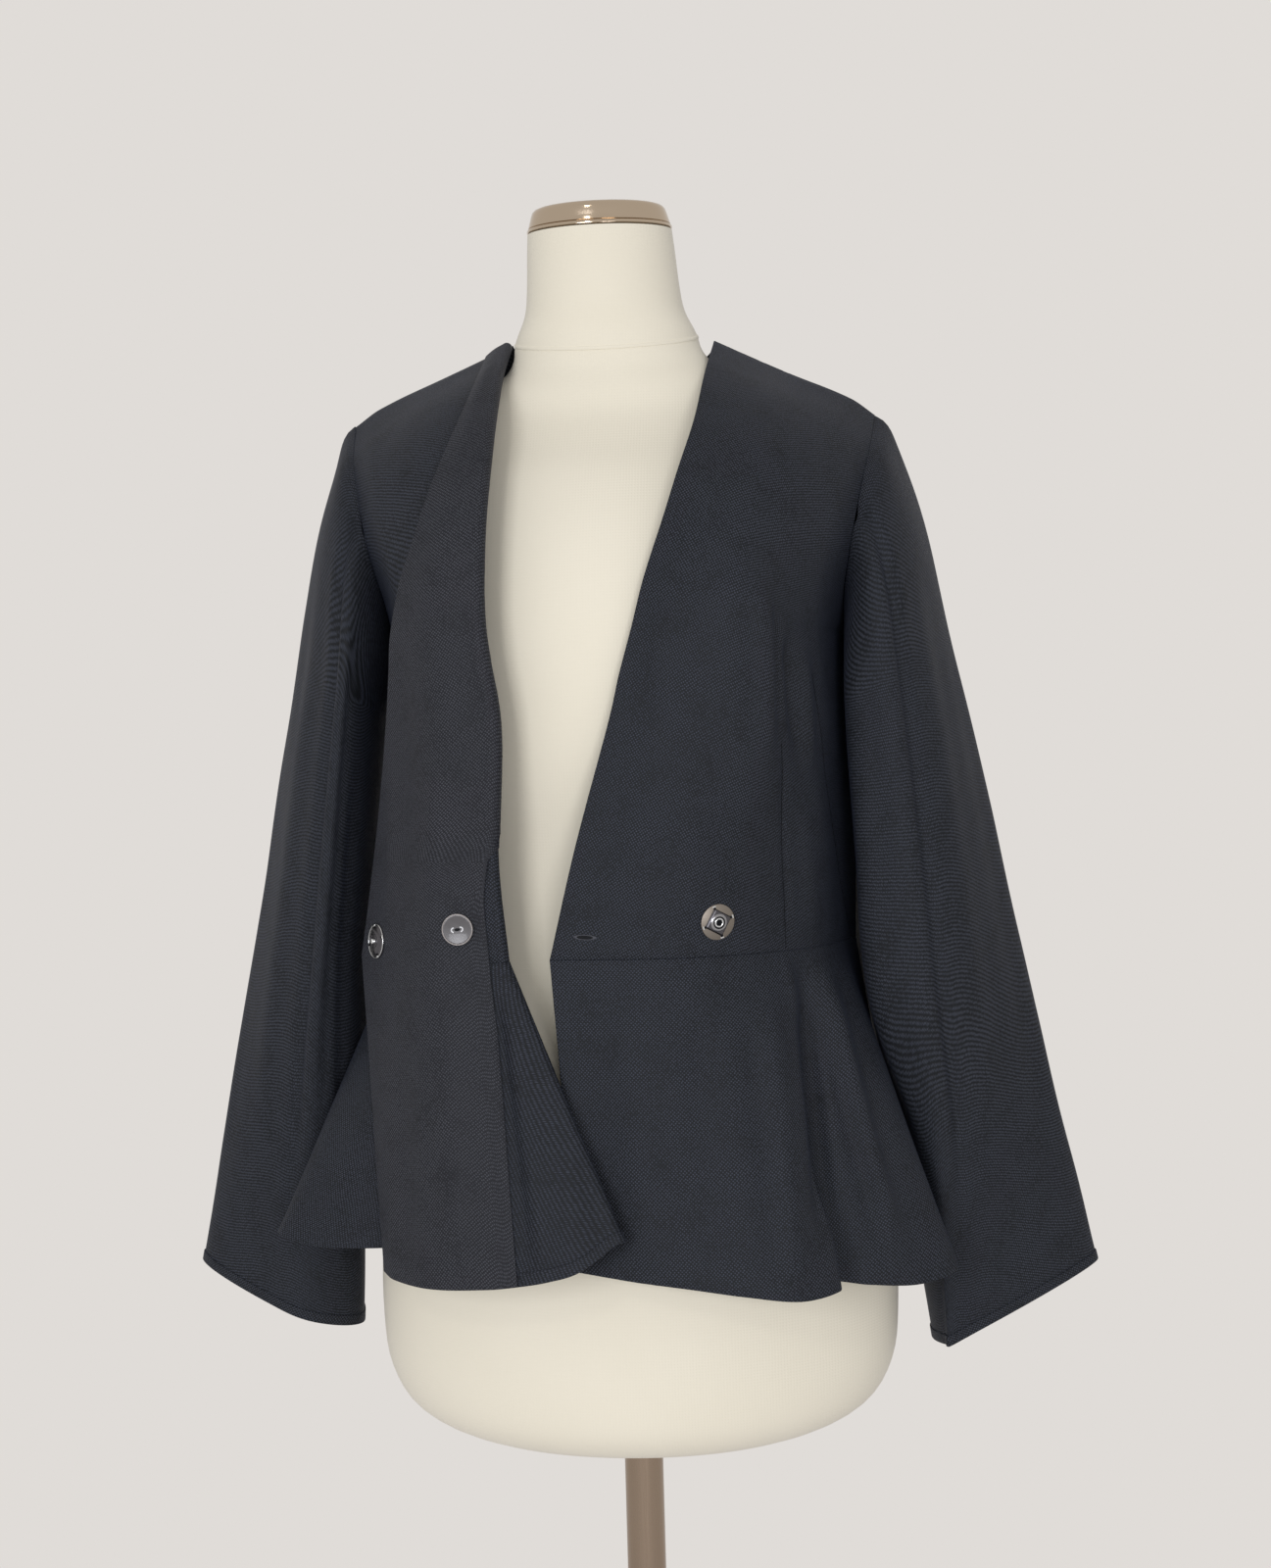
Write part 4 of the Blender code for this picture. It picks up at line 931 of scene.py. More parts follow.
# %% Crease the panels
FRONT_CREASES = (
    (0.0860, 1.2900, 0.0840, 1.1000, 0.002, 0.0220, 0.0060),
    (0.0920, 1.2650, 0.0905, 1.1450, 0.001, 0.0070, 0.0034),
    (0.0995, 1.2450, 0.0990, 1.1700, 0.000, 0.0036, -0.0030),
    (0.1085, 1.2300, 0.1140, 1.1550, -0.002, 0.0052, -0.0044),
    (0.1170, 1.2250, 0.1200, 1.1400, 0.001, 0.0045, 0.0024),
    (0.0600, 1.3000, 0.0300, 1.1800, -0.006, 0.0160, 0.0014),
    (0.1005, 1.1650, 0.1040, 1.0380, 0.001, 0.0030, -0.0010),
    (0.1290, 1.1700, 0.1370, 1.0500, 0.002, 0.0080, -0.0016),
    (0.1130, 1.1300, 0.1180, 1.0450, 0.002, 0.0060, 0.0013),
    (0.0200, 1.0750, 0.1100, 1.0660, -0.003, 0.0080, 0.0009),
    (-0.0100, 1.0520, 0.0700, 1.0500, 0.002, 0.0060, -0.0007),
    (0.0880, 1.0250, 0.1045, 0.8400, 0.002, 0.0100, 0.0040),
    (0.1130, 1.0340, 0.1218, 0.8600, 0.000, 0.0070, -0.0062),
    (0.1225, 1.0340, 0.1665, 0.8500, -0.002, 0.0068, 0.0060),
    (0.1010, 1.0330, 0.1120, 0.9900, 0.000, 0.0040, 0.0012),
    (0.0100, 1.0200, 0.0200, 0.8400, 0.000, 0.0160, 0.0014),
    (0.0480, 1.0200, 0.0600, 0.8400, 0.000, 0.0160, -0.0018),
    (-0.1034, 1.1600, -0.1074, 1.0400, 0.002, 0.0060, 0.0013),
    (-0.1200, 1.2300, -0.1240, 1.0600, -0.003, 0.0090, -0.0014),
    (-0.1340, 1.1600, -0.1400, 1.0300, 0.002, 0.0090, 0.0012),
    (-0.0700, 1.0300, -0.0461, 0.8500, 0.000, 0.0060, -0.0032),
    (-0.0300, 0.9800, -0.0180, 0.8600, 0.000, 0.0100, 0.0016),
    (-0.0980, 1.0000, -0.0920, 0.8500, 0.000, 0.0120, 0.0014),
    (-0.1270, 0.9900, -0.1240, 0.8500, 0.000, 0.0090, -0.0014),
)
BACK_CREASES = (
    (0.000, 1.330, 0.004, 1.080, 0.004, 0.020, 0.0022),
    (0.070, 1.280, 0.050, 1.070, -0.006, 0.014, 0.0026),
    (-0.075, 1.270, -0.052, 1.080, 0.006, 0.014, 0.0024),
    (0.112, 1.240, 0.094, 1.080, -0.004, 0.010, 0.0026),
    (-0.117, 1.230, -0.097, 1.090, 0.004, 0.010, 0.0022),
    (-0.060, 1.075, 0.060, 1.072, 0.003, 0.007, 0.0016),
    (-0.090, 1.058, 0.020, 1.055, -0.003, 0.006, 0.0010),
    (0.052, 1.020, 0.050, 0.860, 0.002, 0.009, 0.0036),
    (-0.056, 1.025, -0.056, 0.860, -0.002, 0.009, 0.0034),
    (0.122, 1.020, 0.140, 0.850, 0.002, 0.008, 0.0034),
    (-0.124, 1.020, -0.140, 0.860, -0.002, 0.008, 0.0032),
    (0.000, 0.990, -0.004, 0.860, 0.002, 0.012, 0.0012),
)


def lift_signs(shares):
    """Which way a column of the right front is lifted so that it moves toward the front."""
    return [math.cos(math.pi * clamp(s - 1)) for s in shares]


signs = {name: [1] * len(grid) for name, (grid, outward) in cut.items()}
signs["front_right"] = signs["peplum_right"] = lift_signs(shares_right)
share_seams([(grid, ways[name]) for name, (grid, outward) in cut.items()])
for name, (grid, outward) in cut.items():
    creases = BACK_CREASES if "back" in name else FRONT_CREASES
    lifted = [[way * sign for way in line] for line, sign in zip(ways[name], signs[name])]
    cut[name] = (creased(grid, lifted, creases), outward)
    ways[name] = facing_ways(cut[name][0], outward=outward)
share_seams([(cut[name][0], ways[name]) for name in cut])

shoulder = front_row(0, 1) - front_row(0, 0)
for name, first, side in (("front_left", 0, 1), ("front_right", 0, -1),
                          ("back_left", NECK_CELLS, 1), ("back_right", NECK_CELLS, -1)):
    top = Vector((-shoulder.z * side, 0, shoulder.x)).normalized()
    last = UNTURNED_CELLS if name == "front_right" else len(cut[name][0]) - 1
    for i in range(first, last + 1):
        ways[name][i][0] = top.copy()
print("creases:", len(FRONT_CREASES), "in front,", len(BACK_CREASES), "behind")

# %% [markdown]
# ## The facing
# The facing is one strip sewn to the front's wrong side, from the shoulder to the hem. Since that
# front is turned back, the facing is what shows. It is taken from the panel's own points, moved
# out, so it follows every crease, and its inner edge comes round the roll just above the waist.

# %% Make the facing
FACING_LIFT = CLOTH / 2 + GAP + FACING_CLOTH / 2
FACING_OUT_ROWS = (79, 86)       # rows over which its inner edge comes round the roll
FACING_INNER = UNTURNED_CELLS, UNTURNED_CELLS + ROLL_CELLS + SHOW_CELLS    # its column there
FACING_CELLS = 64

right_points = [upper + lower[1:] for upper, lower in zip(cut["front_right"][0],
                                                          cut["peplum_right"][0])]
right_ways = [upper + lower[1:] for upper, lower in zip(ways["front_right"],
                                                        ways["peplum_right"])]
last_column = len(right_points) - 1


def on_grid(values, i, j):
    """A value between the columns and the rows of a grid."""
    a, b = min(int(i), len(values) - 2), min(int(j), len(values[0]) - 2)
    upper = values[a][b].lerp(values[a + 1][b], i - a)
    return upper.lerp(values[a][b + 1].lerp(values[a + 1][b + 1], i - a), j - b)


def facing_inner(j):
    first, last = FACING_OUT_ROWS
    return (FACING_INNER[0]
            + (FACING_INNER[1] - FACING_INNER[0]) * ease((j - first) / (last - first)))


facing_grid, facing_way = [], []
for c in range(FACING_CELLS + 1):
    line, faces = [], []
    for j in range(len(right_points[0])):
        inner = facing_inner(j)
        at = inner + (last_column - inner) * c / FACING_CELLS
        way = on_grid(right_ways, at, j).normalized()
        line.append(on_grid(right_points, at, j) - way * FACING_LIFT)
        faces.append(-way)
    line[0] = line[0].lerp(line[1], 0.5)
    facing_grid.append(line)
    facing_way.append(faces)
print("facing:", len(facing_grid), "by", len(facing_grid[0]), "points")

# %% [markdown]
# Every panel is now turned into a wall. The panels and their grids are kept by name, because the
# seams, the hems and the hardware come later.

# %% Hang the panels
NODES = {
    "front_left": "bodice_front_left", "front_right": "bodice_front_right",
    "back_left": "bodice_back_left", "back_right": "bodice_back_right",
    "peplum_left": "peplum_front_left", "peplum_right": "peplum_front_right",
    "peplum_back": "peplum_back",
}
hung = {name: (grid, ways[name]) for name, (grid, outward) in cut.items()}
hung["facing"] = facing_grid, facing_way
cloth = {name: new_piece("crepe_" + name, cloth_wall(*hung[name]), crepe, [node])
         for name, node in NODES.items()}
cloth["facing"] = new_piece("crepe_facing", cloth_wall(*hung["facing"], FACING_CLOTH),
                            facing_crepe_painted_lighter, ["facing_front_right"])

# %% [markdown]
# ## The sleeves
# A sleeve is a tube of cloth that hangs from the armhole, empty. In front it has one long ridge,
# where it folds under its own weight, and its head puffs out a little over the shoulder seam. Its
# creases are placed by the distance round it, counted from its outer side and positive in front.
# Its grid is closed round, so the first and last columns are merged.

# %% Hang the sleeves
SLEEVE_ROUND, SLEEVE_CAP_CELLS, SLEEVE_ARM_CELLS = 112, 36, 90
SEAM_AT = 0.5             # the sleeve's own seam runs down from the underarm
SLEEVE_GIRTH = 0.33       # metres round it, for placing its creases
HEAD_PUFF, HEAD_AT = 0.0036, 0.06    # how far its head puffs out, and how far down that is
SLEEVE_CREASES = {
    "left": (
        (0.066, 1.380, 0.074, 0.830, 0.000, 0.0075, 0.0040),
        (0.040, 1.300, 0.050, 0.860, 0.004, 0.0120, -0.0020),
        (0.100, 1.280, 0.110, 0.880, -0.003, 0.0140, 0.0014),
        (0.128, 1.180, 0.140, 0.860, 0.003, 0.0090, 0.0016),
        (0.010, 1.250, 0.018, 0.830, 0.003, 0.0130, 0.0014),
        (-0.060, 1.330, -0.070, 0.830, -0.004, 0.0100, 0.0030),
        (-0.110, 1.220, -0.100, 0.860, 0.004, 0.0120, -0.0024),
    ),
    "right": (
        (0.066, 1.380, 0.074, 0.840, 0.000, 0.0080, 0.0036),
        (0.038, 1.320, 0.046, 0.860, -0.003, 0.0120, -0.0020),
        (0.100, 1.280, 0.106, 0.880, 0.004, 0.0140, 0.0014),
        (0.126, 1.180, 0.136, 0.860, -0.003, 0.0090, 0.0016),
        (0.008, 1.230, 0.014, 0.830, 0.003, 0.0130, 0.0012),
        (-0.062, 1.340, -0.068, 0.830, 0.004, 0.0100, 0.0030),
        (-0.108, 1.210, -0.098, 0.870, -0.004, 0.0120, -0.0024),
    ),
}


def make_sleeve(side, table, shape):
    down = even(0, 1, SLEEVE_CAP_CELLS) + even(1, len(table), SLEEVE_ARM_CELLS)[1:]
    around = [(SEAM_AT + n / SLEEVE_ROUND) % 1 for n in range(SLEEVE_ROUND)] + [SEAM_AT]
    outward = 1 if side == "left" else -1

    def puffed(phi, v):
        near = v / HEAD_AT
        puff = HEAD_PUFF * near * math.exp(1 - near) * max(math.cos(2 * math.pi * phi), 0)
        return shape(table, phi, v) + Vector((puff * outward, 0, 0))

    grid = grid_of(puffed, around, down)
    faces = facing_ways(grid, closed=True, outward=outward)
    round_it = [[((phi + 0.5) % 1 - 0.5) * SLEEVE_GIRTH] * len(down) for phi in around]
    grid = creased(grid, faces, SLEEVE_CREASES[side], round_it)
    grid[-1] = grid[0]
    faces = facing_ways(grid, closed=True, outward=outward)
    faces[-1] = faces[0]
    hung["sleeve_" + side] = grid, faces
    wall = cloth_wall(grid, faces, closed=True)
    cloth["sleeve_" + side] = new_piece("crepe_sleeve_" + side, wall, crepe,
                                        ["sleeve_" + side])


make_sleeve("left", SLEEVE_LEFT, sleeve)
make_sleeve("right", SLEEVE_RIGHT, mirrored_sleeve)

# %% [markdown]
# ## The form
# The form is a stuffed torso in tight jersey that ends in a neck under a chrome cap. It stands on
# a satin pole in a round chrome base. Sections bridged into a skin give the torso and the cap, and
# the plain model's few sides are made many here.

# %% Sections of the form
TORSO_COLUMNS = ("z", "half_width", "front", "back", "middle_y", "tilt")
TORSO = (
    (0.7235, 0.0750, 0.055, 0.055, 0.000, 0.00),
    (0.7290, 0.1180, 0.085, 0.090, 0.000, 0.00),
    (0.7440, 0.1480, 0.103, 0.108, 0.000, 0.00),
    (0.7680, 0.1630, 0.110, 0.116, 0.000, 0.00),
    (0.8000, 0.1675, 0.112, 0.119, 0.000, 0.00),
    (0.8500, 0.1665, 0.112, 0.119, 0.000, 0.00),
    (0.9200, 0.1560, 0.108, 0.112, 0.000, 0.00),
    (0.9850, 0.1370, 0.100, 0.096, 0.000, 0.00),
    (1.0400, 0.1240, 0.093, 0.081, 0.000, 0.00),
    (1.1000, 0.1240, 0.097, 0.080, 0.000, 0.00),
    (1.1600, 0.1300, 0.114, 0.086, 0.000, 0.00),
    (1.2100, 0.1340, 0.1190, 0.090, 0.000, 0.00),
    (1.2500, 0.1345, 0.1175, 0.091, 0.000, 0.00),
    (1.2900, 0.1360, 0.1065, 0.090, 0.000, 0.00),
    (1.3300, 0.1390, 0.088, 0.082, 0.002, 0.00),
    (1.3550, 0.1400, 0.070, 0.068, 0.004, 0.00),
    (1.3750, 0.1270, 0.057, 0.052, 0.005, 0.00),
    (1.3920, 0.1010, 0.053, 0.043, 0.005, 0.00),
    (1.4060, 0.0745, 0.050, 0.036, 0.006, 0.00),
    (1.4180, 0.0630, 0.048, 0.036, 0.003, 0.02),
    (1.4310, 0.0590, 0.0445, 0.039, -0.002, 0.05),
    (1.4450, 0.0520, 0.042, 0.041, -0.009, 0.08),
    (1.4600, 0.0493, 0.041, 0.042, -0.015, 0.11),
    (1.4800, 0.0475, 0.041, 0.042, -0.023, 0.14),
    (1.4925, 0.0462, 0.041, 0.042, -0.028, 0.14),
)
CAP_FRONT, CAP_BACK, CAP_TILT = 0.005, 0.004, 0.14    # its depths are smaller by the first two
CAP = [(z, half, half - CAP_FRONT, half - CAP_BACK, middle_y, CAP_TILT)
       for z, half, middle_y in (
    (1.4930, 0.0452, -0.0280), (1.4936, 0.0464, -0.0280), (1.4948, 0.0464, -0.0282),
    (1.4954, 0.0458, -0.0284), (1.4958, 0.0451, -0.0285), (1.4961, 0.0456, -0.0287),
    (1.4975, 0.0451, -0.0291), (1.4990, 0.0446, -0.0297), (1.5005, 0.0441, -0.0303),
    (1.5020, 0.0436, -0.0309), (1.5035, 0.0431, -0.0314), (1.5050, 0.0424, -0.0320),
    (1.5063, 0.0410, -0.0325), (1.5070, 0.0388, -0.0330))]
NECK_MIDDLE_X, NECK_FROM, NECK_OVER = -0.004, 1.40, 0.025
FORM_ROUND = 128


def sections(rows, finer):
    """The rows, and smooth ones between them, so that there are finer times as many."""
    shares = list(range(len(rows)))
    points = [Vector(row) for row in rows]
    return [smooth(shares, points, n / finer) for n in range((len(rows) - 1) * finer + 1)]


def skin_point(row, x, y):
    """Where a point of a unit circle lies on a section of the form."""
    r = dict(zip(TORSO_COLUMNS, row))
    neck = clamp((r["z"] - NECK_FROM) / NECK_OVER)
    y *= r["front"] if y < 0 else r["back"]
    return Vector((x * r["half_width"] + NECK_MIDDLE_X * neck, y + r["middle_y"],
                   r["z"] + r["tilt"] * y))


def form_skin(rows):
    """A closed skin over ring sections."""
    bm = bmesh.new()
    rings = []
    for row in rows:
        ring = bmesh.ops.create_circle(bm, segments=FORM_ROUND, radius=1)["verts"]
        for v in ring:
            v.co = skin_point(row, v.co.x, v.co.y)
        rings.append(list({e for v in ring for e in v.link_edges}))
    for low, high in zip(rings, rings[1:]):
        bmesh.ops.bridge_loops(bm, edges=low + high)
    for ring in (rings[0], rings[-1]):
        bmesh.ops.contextual_create(bm, geom=ring)
    bmesh.ops.recalc_face_normals(bm, faces=bm.faces[:])
    return bm


new_piece("form_torso_jersey", form_skin(sections(TORSO, 4)), jersey,
          ["form_torso"])
new_piece("form_neck_cap_chrome", form_skin(CAP), chrome, ["form_neck_cap"])

# %% [markdown]
# The pole and the base are turned shapes. A profile of a few points is spun about the upright
# axis, as on a lathe.

# %% Turn the pole and the base
def lathe(profile, segments=96):
    """A turned solid about the upright axis, from a profile of (radius, height)."""
    bm = bmesh.new()
    verts = [bm.verts.new((r, 0, z)) for r, z in profile]
    edges = [bm.edges.new(pair) for pair in zip(verts, verts[1:])]
    bmesh.ops.spin(bm, geom=verts + edges, cent=(0, 0, 0), axis=(0, 0, 1), dvec=(0, 0, 0),
                   angle=2 * math.pi, steps=segments, use_merge=True, use_duplicate=False)
    bmesh.ops.remove_doubles(bm, verts=bm.verts[:], dist=1e-6)
    bmesh.ops.recalc_face_normals(bm, faces=bm.faces[:])
    return bm


POLE, POLE_TOP, BASE, BASE_HEIGHT, COLLAR = 0.0125, 0.722, 0.170, 0.012, 0.032
new_piece("form_pole_chrome", lathe((
    (0, POLE_TOP), (POLE, POLE_TOP), (POLE, COLLAR + GAP), (0, COLLAR + GAP))), satin_painted_reflection,
    ["form_pole"])
new_piece("form_base_chrome", lathe((
    (0, COLLAR), (0.0212, COLLAR), (0.0220, COLLAR - 0.0004), (0.0235, COLLAR - 0.0018),
    (0.0240, COLLAR - 0.003), (0.0255, 0.0165), (0.0275, 0.0140), (0.0310, 0.0128),
    (0.0400, BASE_HEIGHT), (BASE * 0.94, BASE_HEIGHT), (BASE - 0.0030, BASE_HEIGHT - 0.0010),
    (BASE - 0.0008, BASE_HEIGHT - 0.0030), (BASE, BASE_HEIGHT - 0.006), (BASE, 0.0010),
    (BASE - 0.001, 0), (0, 0))), chrome, ["form_base"])

# %% [markdown]
# A faint seam runs round the form where its neck begins, lower in front than behind. It is a flat
# rib on the torso's skin, found where a tilted plane cuts each upright line of the skin.

# %% Raise the neck seam
SEAM_Z, SEAM_TILT, RIB_HALF, RIB = 1.4300, 0.32, 0.0012, 0.0008
RIB_CROWN = 0.3           # how much higher its middle is, in its own thickness
RIB_STEPS = 120

fine = sections(TORSO, 12)
rails, outward = [[], [], []], []
for n in range(RIB_STEPS + 1):
    angle = 2 * math.pi * n / RIB_STEPS
    upright_line = [skin_point(row, math.cos(angle), math.sin(angle)) for row in fine]
    k = min(range(1, len(fine) - 1), key=lambda k: abs(
        upright_line[k].z - SEAM_Z - SEAM_TILT * upright_line[k].y))
    along = (upright_line[k + 1] - upright_line[k - 1]).normalized()
    out = Vector((math.cos(angle), math.sin(angle), 0))
    out = (out - along * out.dot(along)).normalized()
    outward.append(out)
    height = SEAM_Z + SEAM_TILT * upright_line[k].y
    middle = upright_line[k] + along * (height - upright_line[k].z) / along.z
    for rail, offset in zip(rails, (-1, 0, 1)):
        rail.append(middle + along * RIB_HALF * offset + out * RIB * RIB_CROWN * (offset == 0))
new_piece("form_neck_seam", cloth_wall(rails, [outward] * 3, RIB), jersey)

# %% [markdown]
# ## Darts and seams
# A dart runs from the waist seam up to the bust on the left front, and one up each back. The
# right front's would be covered, so it isn't drawn. Each front has a side seam. Pressed flat, they
# show as fine dark lines of shade, and that shade is painted here. A texture could draw them.
# Narrow near-black strips that follow the cloth keep their place on every crease. A line is given
# by the share and the row at a few places.

# %% Draw the darts and the side seams
LINE_HALF, LINE_THICK = 0.0003, 0.00014
LINE_STEPS = 70
DART = ((0.757, 9.98), (0.744, 9.50), (0.731, 9.13), (0.712, 8.61), (0.690, 8.25))
SIDE_SEAM = ((0.983, 9.98), (0.962, 9.72), (0.916, 8.90), (0.860, 8.08), (0.822, 7.53))
BACK_DART = ((0.500, 9.98), (0.505, 9.00), (0.520, 7.80), (0.540, 6.60))


def column_of(shares, share):
    """The column of a panel, with a fraction, at a share of its width."""
    k = min(max(bisect.bisect_right(shares, share), 1), len(shares) - 1)
    return k - 1 + (share - shares[k - 1]) / (shares[k] - shares[k - 1])


def line_on(panel, shares, marks):
    """A narrow strip on a panel, through marks of (share, row)."""
    grid, faces = hung[panel]
    marks = [Vector((column_of(shares, share), row * BODICE_CELLS / WAIST_ROW))
             for share, row in marks]
    steps = [smooth(list(range(len(marks))), marks, t)
             for t in even(0, len(marks) - 1, LINE_STEPS)]
    path = [on_grid(grid, *step) for step in steps]
    facing = [on_grid(faces, *step).normalized() for step in steps]
    rails = [[], [], []]
    for n, (p, way) in enumerate(zip(path, facing)):
        along = path[min(n + 1, LINE_STEPS)] - path[max(n - 1, 0)]
        side = way.cross(along).normalized() * LINE_HALF
        for rail, offset in zip(rails, (-1, 0, 1)):
            rail.append(p + side * offset + way * (CLOTH + LINE_THICK) / 2)
    return cloth_wall(rails, [facing] * 3, LINE_THICK)


def mirrored(marks):
    """The same marks on the right front, whose unturned part counts from the side seam."""
    return [((1 - share) / (1 - roll_share(row)), row) for share, row in marks]


# Each strip is painted shade along its seam or dart.
for name, panel, shares, marks in (
        ("dart_left", "front_left", shares_left, DART),
        ("side_seam_left", "front_left", shares_left, SIDE_SEAM),
        ("side_seam_right", "front_right", shares_right, mirrored(SIDE_SEAM)),
        ("back_dart_left", "back_left", shares_back, BACK_DART),
        ("back_dart_right", "back_right", shares_back, BACK_DART)):
    new_piece(name, line_on(panel, shares, marks), painted_shade)

# %% [markdown]
# The hems are turned up inside and pressed. The turned-back front shows its own, as a second
# layer along the bottom, and the others lie inside in the same way.

# %% Turn up the hems
HEM_TURN, HEM_THICK = 0.0065, 0.0008
HEM_FROM_END = 1.05       # rows from the end of a grid to the hem's lower edge


def hem_turned(grid, faces, first, last):
    """The hem allowance: a strip on the inner side of a panel's lowest rows."""
    drop = (grid[first][-1] - grid[first][-2]).length
    rows = [len(grid[0]) - HEM_FROM_END - HEM_TURN / drop * t for t in (1, 0.5, 0)]
    lift = -(CLOTH + HEM_THICK) / 2
    strip = [[on_grid(grid, i, j) + on_grid(faces, i, j).normalized() * lift for j in rows]
             for i in range(first, last + 1)]
    turned = [[on_grid(faces, i, j).normalized() for j in rows] for i in range(first, last + 1)]
    return cloth_wall(strip, turned, HEM_THICK)


hems = {
    name: new_piece("hem_of_" + name, hem_turned(*hung[name], first, last), crepe)
    for name, first, last in (
        ("peplum_left", 1, len(shares_left) - 2), ("peplum_right", 1, FACING_INNER[1] - 1),
        ("peplum_back", 1, len(waist_back) - 2), ("sleeve_left", 0, SLEEVE_ROUND),
        ("sleeve_right", 0, SLEEVE_ROUND))}

# %% [markdown]
# ## Hardware
# The button and the snap halves stand on the cloth where the plain model has them: the middle of
# each node's box gives the place, and the cloth's own way there gives the tilt. Rings and thread
# are rods that a spin bends round.

# %% Helpers for the hardware
STAND_OFF = 0.0002        # what is left open under the hardware


def stand(at, way):
    """A matrix that stands a piece at a place on the cloth, facing as the cloth does."""
    x = Vector((0, 0, 1)).cross(way).normalized()
    turn = Matrix((x, way.cross(x), way)).transposed().to_4x4()
    return Matrix.Translation(at) @ turn


def seat(node, panel, thick=CLOTH):
    """Where a piece of the plain model stands on a panel: the point under its box's middle."""
    grid, faces = hung[panel]
    low, high = (Vector(corner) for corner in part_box(node))
    middle = (low + high) / 2
    away, at, way = min(((p - middle).length, tuple(p), tuple(turn)) for line, turns in
                        zip(grid, faces) for p, turn in zip(line, turns))
    at, way = Vector(at), Vector(way).normalized()
    return stand(middle - way * ((middle - at).dot(way) - thick / 2 - STAND_OFF), way)


def bent_rod(radius, thick, angle=2 * math.pi, steps=40):
    """A round rod bent to an arc, or to a ring, that lies flat about the upright axis."""
    bm = bmesh.new()
    section = bmesh.ops.create_circle(bm, segments=10, radius=thick)["verts"]
    bmesh.ops.rotate(bm, verts=section, cent=(0, 0, 0), matrix=Matrix.Rotation(math.pi / 2, 3, "X"))
    bmesh.ops.translate(bm, verts=section, vec=(radius, 0, 0))
    ring = angle > 6
    bmesh.ops.spin(bm, geom=bm.verts[:] + bm.edges[:], cent=(0, 0, 0), axis=(0, 0, 1),
                   dvec=(0, 0, 0), angle=angle, steps=steps, use_merge=ring, use_duplicate=False)
    bmesh.ops.remove_doubles(bm, verts=bm.verts[:], dist=1e-7)
    if not ring:
        bmesh.ops.holes_fill(bm, edges=[e for e in bm.edges if e.is_boundary], sides=12)
    bmesh.ops.recalc_face_normals(bm, faces=bm.faces[:])
    return bm


def block(size, at, round_by, angle=0.0, top=1.0):
    """A block with rounded edges, its top smaller by a share, turned about the upright axis."""
    bm = bmesh.new()
    bmesh.ops.create_cube(bm, size=1)
    for v in bm.verts:
        if v.co.z > 0:
            v.co.x, v.co.y = v.co.x * top, v.co.y * top
    bmesh.ops.scale(bm, vec=size, verts=bm.verts)
    bmesh.ops.bevel(bm, geom=bm.edges[:], offset=round_by, offset_type="OFFSET", affect="EDGES",
                    segments=3, profile=0.5, material=-1, clamp_overlap=True)
    bmesh.ops.translate(bm, verts=bm.verts, vec=at)
    bmesh.ops.rotate(bm, verts=bm.verts, cent=(0, 0, 0), matrix=Matrix.Rotation(angle, 3, "Z"))
    return bm


def moved(bm, matrix):
    bmesh.ops.transform(bm, matrix=matrix, verts=bm.verts)
    return bm


def at_height(z):
    return Matrix.Translation((0, 0, z))


print("helpers for the hardware are ready")

# %% [markdown]
# The button is a smoked disc with a raised rim, drawn in a paler copy of the resin as a painted
# highlight. Its two holes lie close together and are filled with painted shade, and a loop of grey
# thread comes out of each.

# %% Sew on the button
BUTTON_TURN = math.radians(6)
button_turn = seat("button", "facing", FACING_CLOTH) @ Matrix.Rotation(BUTTON_TURN, 4, "Z")
new_piece("button_disc", moved(lathe((
    (0.0, 0.0), (0.0086, 0.0), (0.0093, 0.0008), (0.0094, 0.0018), (0.0086, 0.0022),
    (0.0078, 0.0020), (0.0, 0.0018)), 64), button_turn), smoke, ["button"])
new_piece("button_rim", moved(bent_rod(0.0090, 0.00042, steps=64),
                              button_turn @ at_height(0.0020)),
          rim_resin_painted_highlight)
new_piece("button_holes", moved(lathe((
    (0.0, 0.0017), (0.0008, 0.0017), (0.0008, 0.00195), (0.0, 0.00195)), 24),
    button_turn @ Matrix.Diagonal((2.2, 1.1, 1.0, 1.0))), painted_shade)
for name, middle, start in (("left", -0.0022, 70), ("right", 0.0022, -95)):
    place_at = (button_turn @ Matrix.Translation((middle, 0, 0.0022))
                @ Matrix.Rotation(math.radians(start), 4, "Z"))
    new_piece("button_thread_" + name, moved(bent_rod(0.00125, 0.00045, math.radians(200), 20),
                                             place_at), grey_thread)

# %% [markdown]
# A press snap has a flat plate with a square dome turned a little on it. Thread holes lie at the
# dome's corners, drawn as dark slots of painted shade with bright bars beside them as painted
# highlights. One half has a ring with a hole in its middle, and the other has a stud. The rings,
# the stud and its lip are painted highlights, and the dome, the stud's plate, the collars, the
# groove and the hole are painted shade.

# %% Sew on the snaps
SNAP_TURN = math.radians(-27)


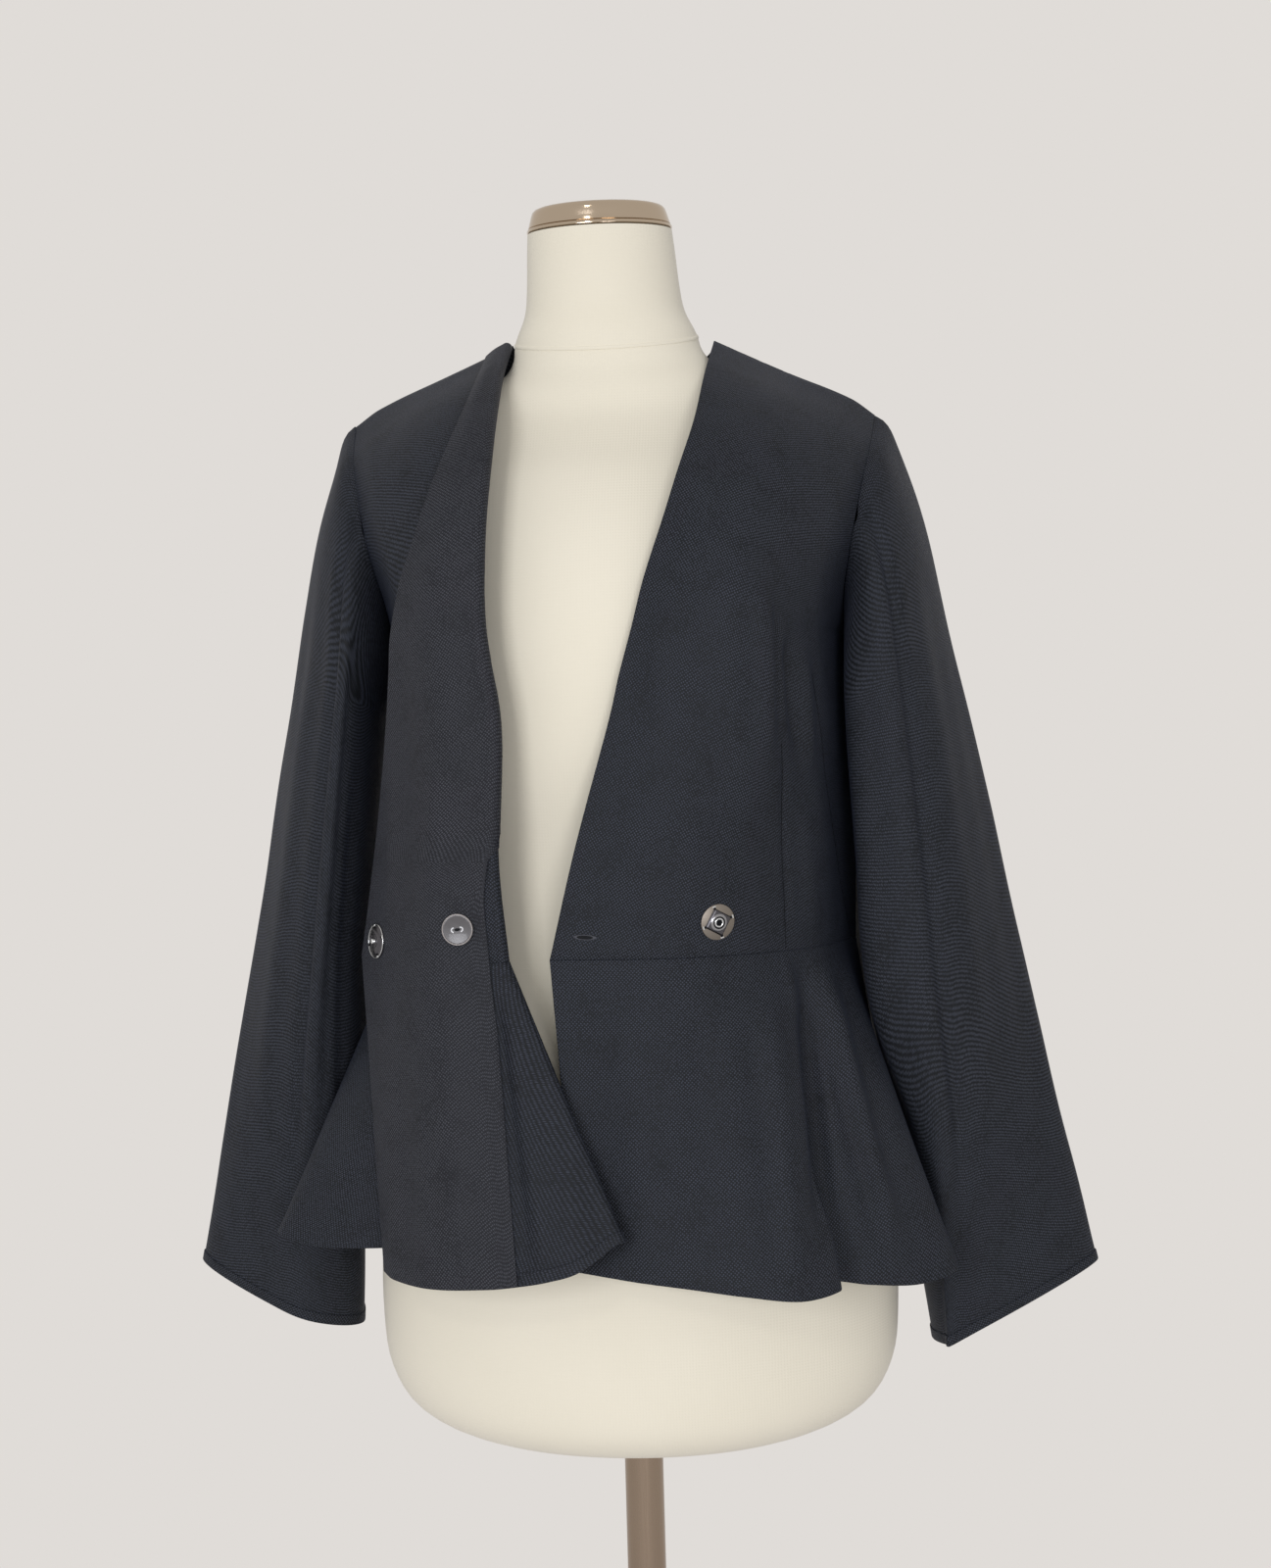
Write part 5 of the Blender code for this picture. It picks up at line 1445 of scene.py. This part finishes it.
def snap_parts(socket):
    """Half of a press snap as (name, shape, material), lying on z = 0."""
    parts = [
        # The stud half's plate is the dark copy, painted shade; the socket's is the plain dull
        # steel.
        ("plate", lathe(((0, 0), (0.0104, 0), (0.0108, 0.0003), (0.0108, 0.0006),
                         (0.0104, 0.0009), (0, 0.0009)), 64), dull_steel if socket else dark_steel),
        # The dome is the dark copy of the steel, painted shade.
        ("dome", block((0.0136, 0.0136, 0.0018), (0, 0, 0.0013), 0.0004, SNAP_TURN, 0.8),
         dark_steel),
    ]
    if socket:
        # The collar is painted mid shade, the dark groove disc is painted shade in the groove and
        # the hole, and the ring is a painted highlight.
        parts += [
            ("collar", lathe(((0.0036, 0.0018), (0.0056, 0.0018), (0.0050, 0.0024),
                              (0.0044, 0.0027), (0.0038, 0.0026), (0.0036, 0.0018)), 48),
             mid_shaded_steel),
            ("groove", lathe(((0, 0.0020), (0.0037, 0.0020), (0.0037, 0.0023), (0, 0.0023)), 48),
             painted_shade),
            ("ring", lathe(((0.0019, 0.0020), (0.0030, 0.0020), (0.0029, 0.0026), (0.0026, 0.0028),
                            (0.0022, 0.0028), (0.0019, 0.0025), (0.0019, 0.0020)), 48), highlight_steel),
        ]
    else:
        # The lip and the stud are painted highlights, and the collar is painted shade.
        parts += [
            ("lip", moved(bent_rod(0.0104, 0.0003), at_height(0.0009)), highlight_steel),
            ("collar", moved(bent_rod(0.0040, 0.0005), at_height(0.0022)), dark_steel),
            ("stud", lathe(((0, 0.002), (0.0016, 0.002), (0.0013, 0.0028), (0.0017, 0.0034),
                            (0.0014, 0.0039), (0.0007, 0.0041), (0, 0.0041)), 48), highlight_steel),
        ]
    for k in range(4):
        angle = SNAP_TURN + math.radians(45 + 90 * k)
        # Dark slots of painted shade at the thread holes, and bright bars beside them as painted
        # highlights.
        parts += [
            ("slot_%d" % k, block((0.0016, 0.0014, 0.0003), (0.0085, 0, 0.0014), 0.0001, angle),
             painted_shade),
            ("bar_%d" % k, block((0.0010, 0.0022, 0.0006), (0.0098, 0, 0.0010), 0.0002, angle),
             highlight_steel),
        ]
    return parts


for node, place_at in (("snap_socket", seat("snap_socket", "front_left")),
                       ("snap_stud", seat("snap_stud", "facing", FACING_CLOTH))):
    for part, bm, material in snap_parts(node == "snap_socket"):
        new_piece(node + "_" + part, moved(bm, place_at), material,
                  [node] if part == "plate" else ())

# %% [markdown]
# The buttonhole is a worked slit: a ring of close stitches drawn out to an almond round a gap,
# whose shade is painted as a dark flat disc.

# %% Work the buttonhole
HOLE_AT, HOLE_HALF, HOLE_WIDE = (0.102, 9.80), 0.0056, 0.0013
HOLE_TURN = math.radians(-3)
hole_cell = (column_of(shares_left, HOLE_AT[0]), HOLE_AT[1] * BODICE_CELLS / WAIST_ROW)
hole_at, hole_way = (on_grid(values, *hole_cell) for values in hung["front_left"])
hole_way.normalize()
hole_seat = (stand(hole_at + hole_way * CLOTH / 2, hole_way)
             @ Matrix.Rotation(HOLE_TURN, 4, "Z"))
for name, bm, material in (
        ("stitches", bent_rod(HOLE_WIDE, 0.00035, steps=48), thread),
        ("slit", lathe(((0, 0), (HOLE_WIDE, 0), (HOLE_WIDE, 0.0003), (0, 0.0003)), 48), painted_shade)):
    bmesh.ops.scale(bm, vec=(HOLE_HALF / HOLE_WIDE, 1, 1), verts=bm.verts)
    new_piece("buttonhole_" + name, moved(bm, hole_seat), material)

# %% [markdown]
# ## What each piece hangs from
# Left and right are cut alike. The bodice rests on the form, and everything else hangs from what it
# is sewn to, as this table lists.

HUNG_FROM = {
    **dict.fromkeys(("front_left", "front_right", "back_left", "back_right"),
                    ["form_torso_jersey"]),
    "peplum_left": ["crepe_front_left"], "peplum_right": ["crepe_front_right"],
    "peplum_back": ["crepe_back_left", "crepe_back_right"],
    "facing": ["crepe_front_right"],
    "sleeve_left": ["crepe_front_left", "crepe_back_left"],
    "sleeve_right": ["crepe_front_right", "crepe_back_right"],
}
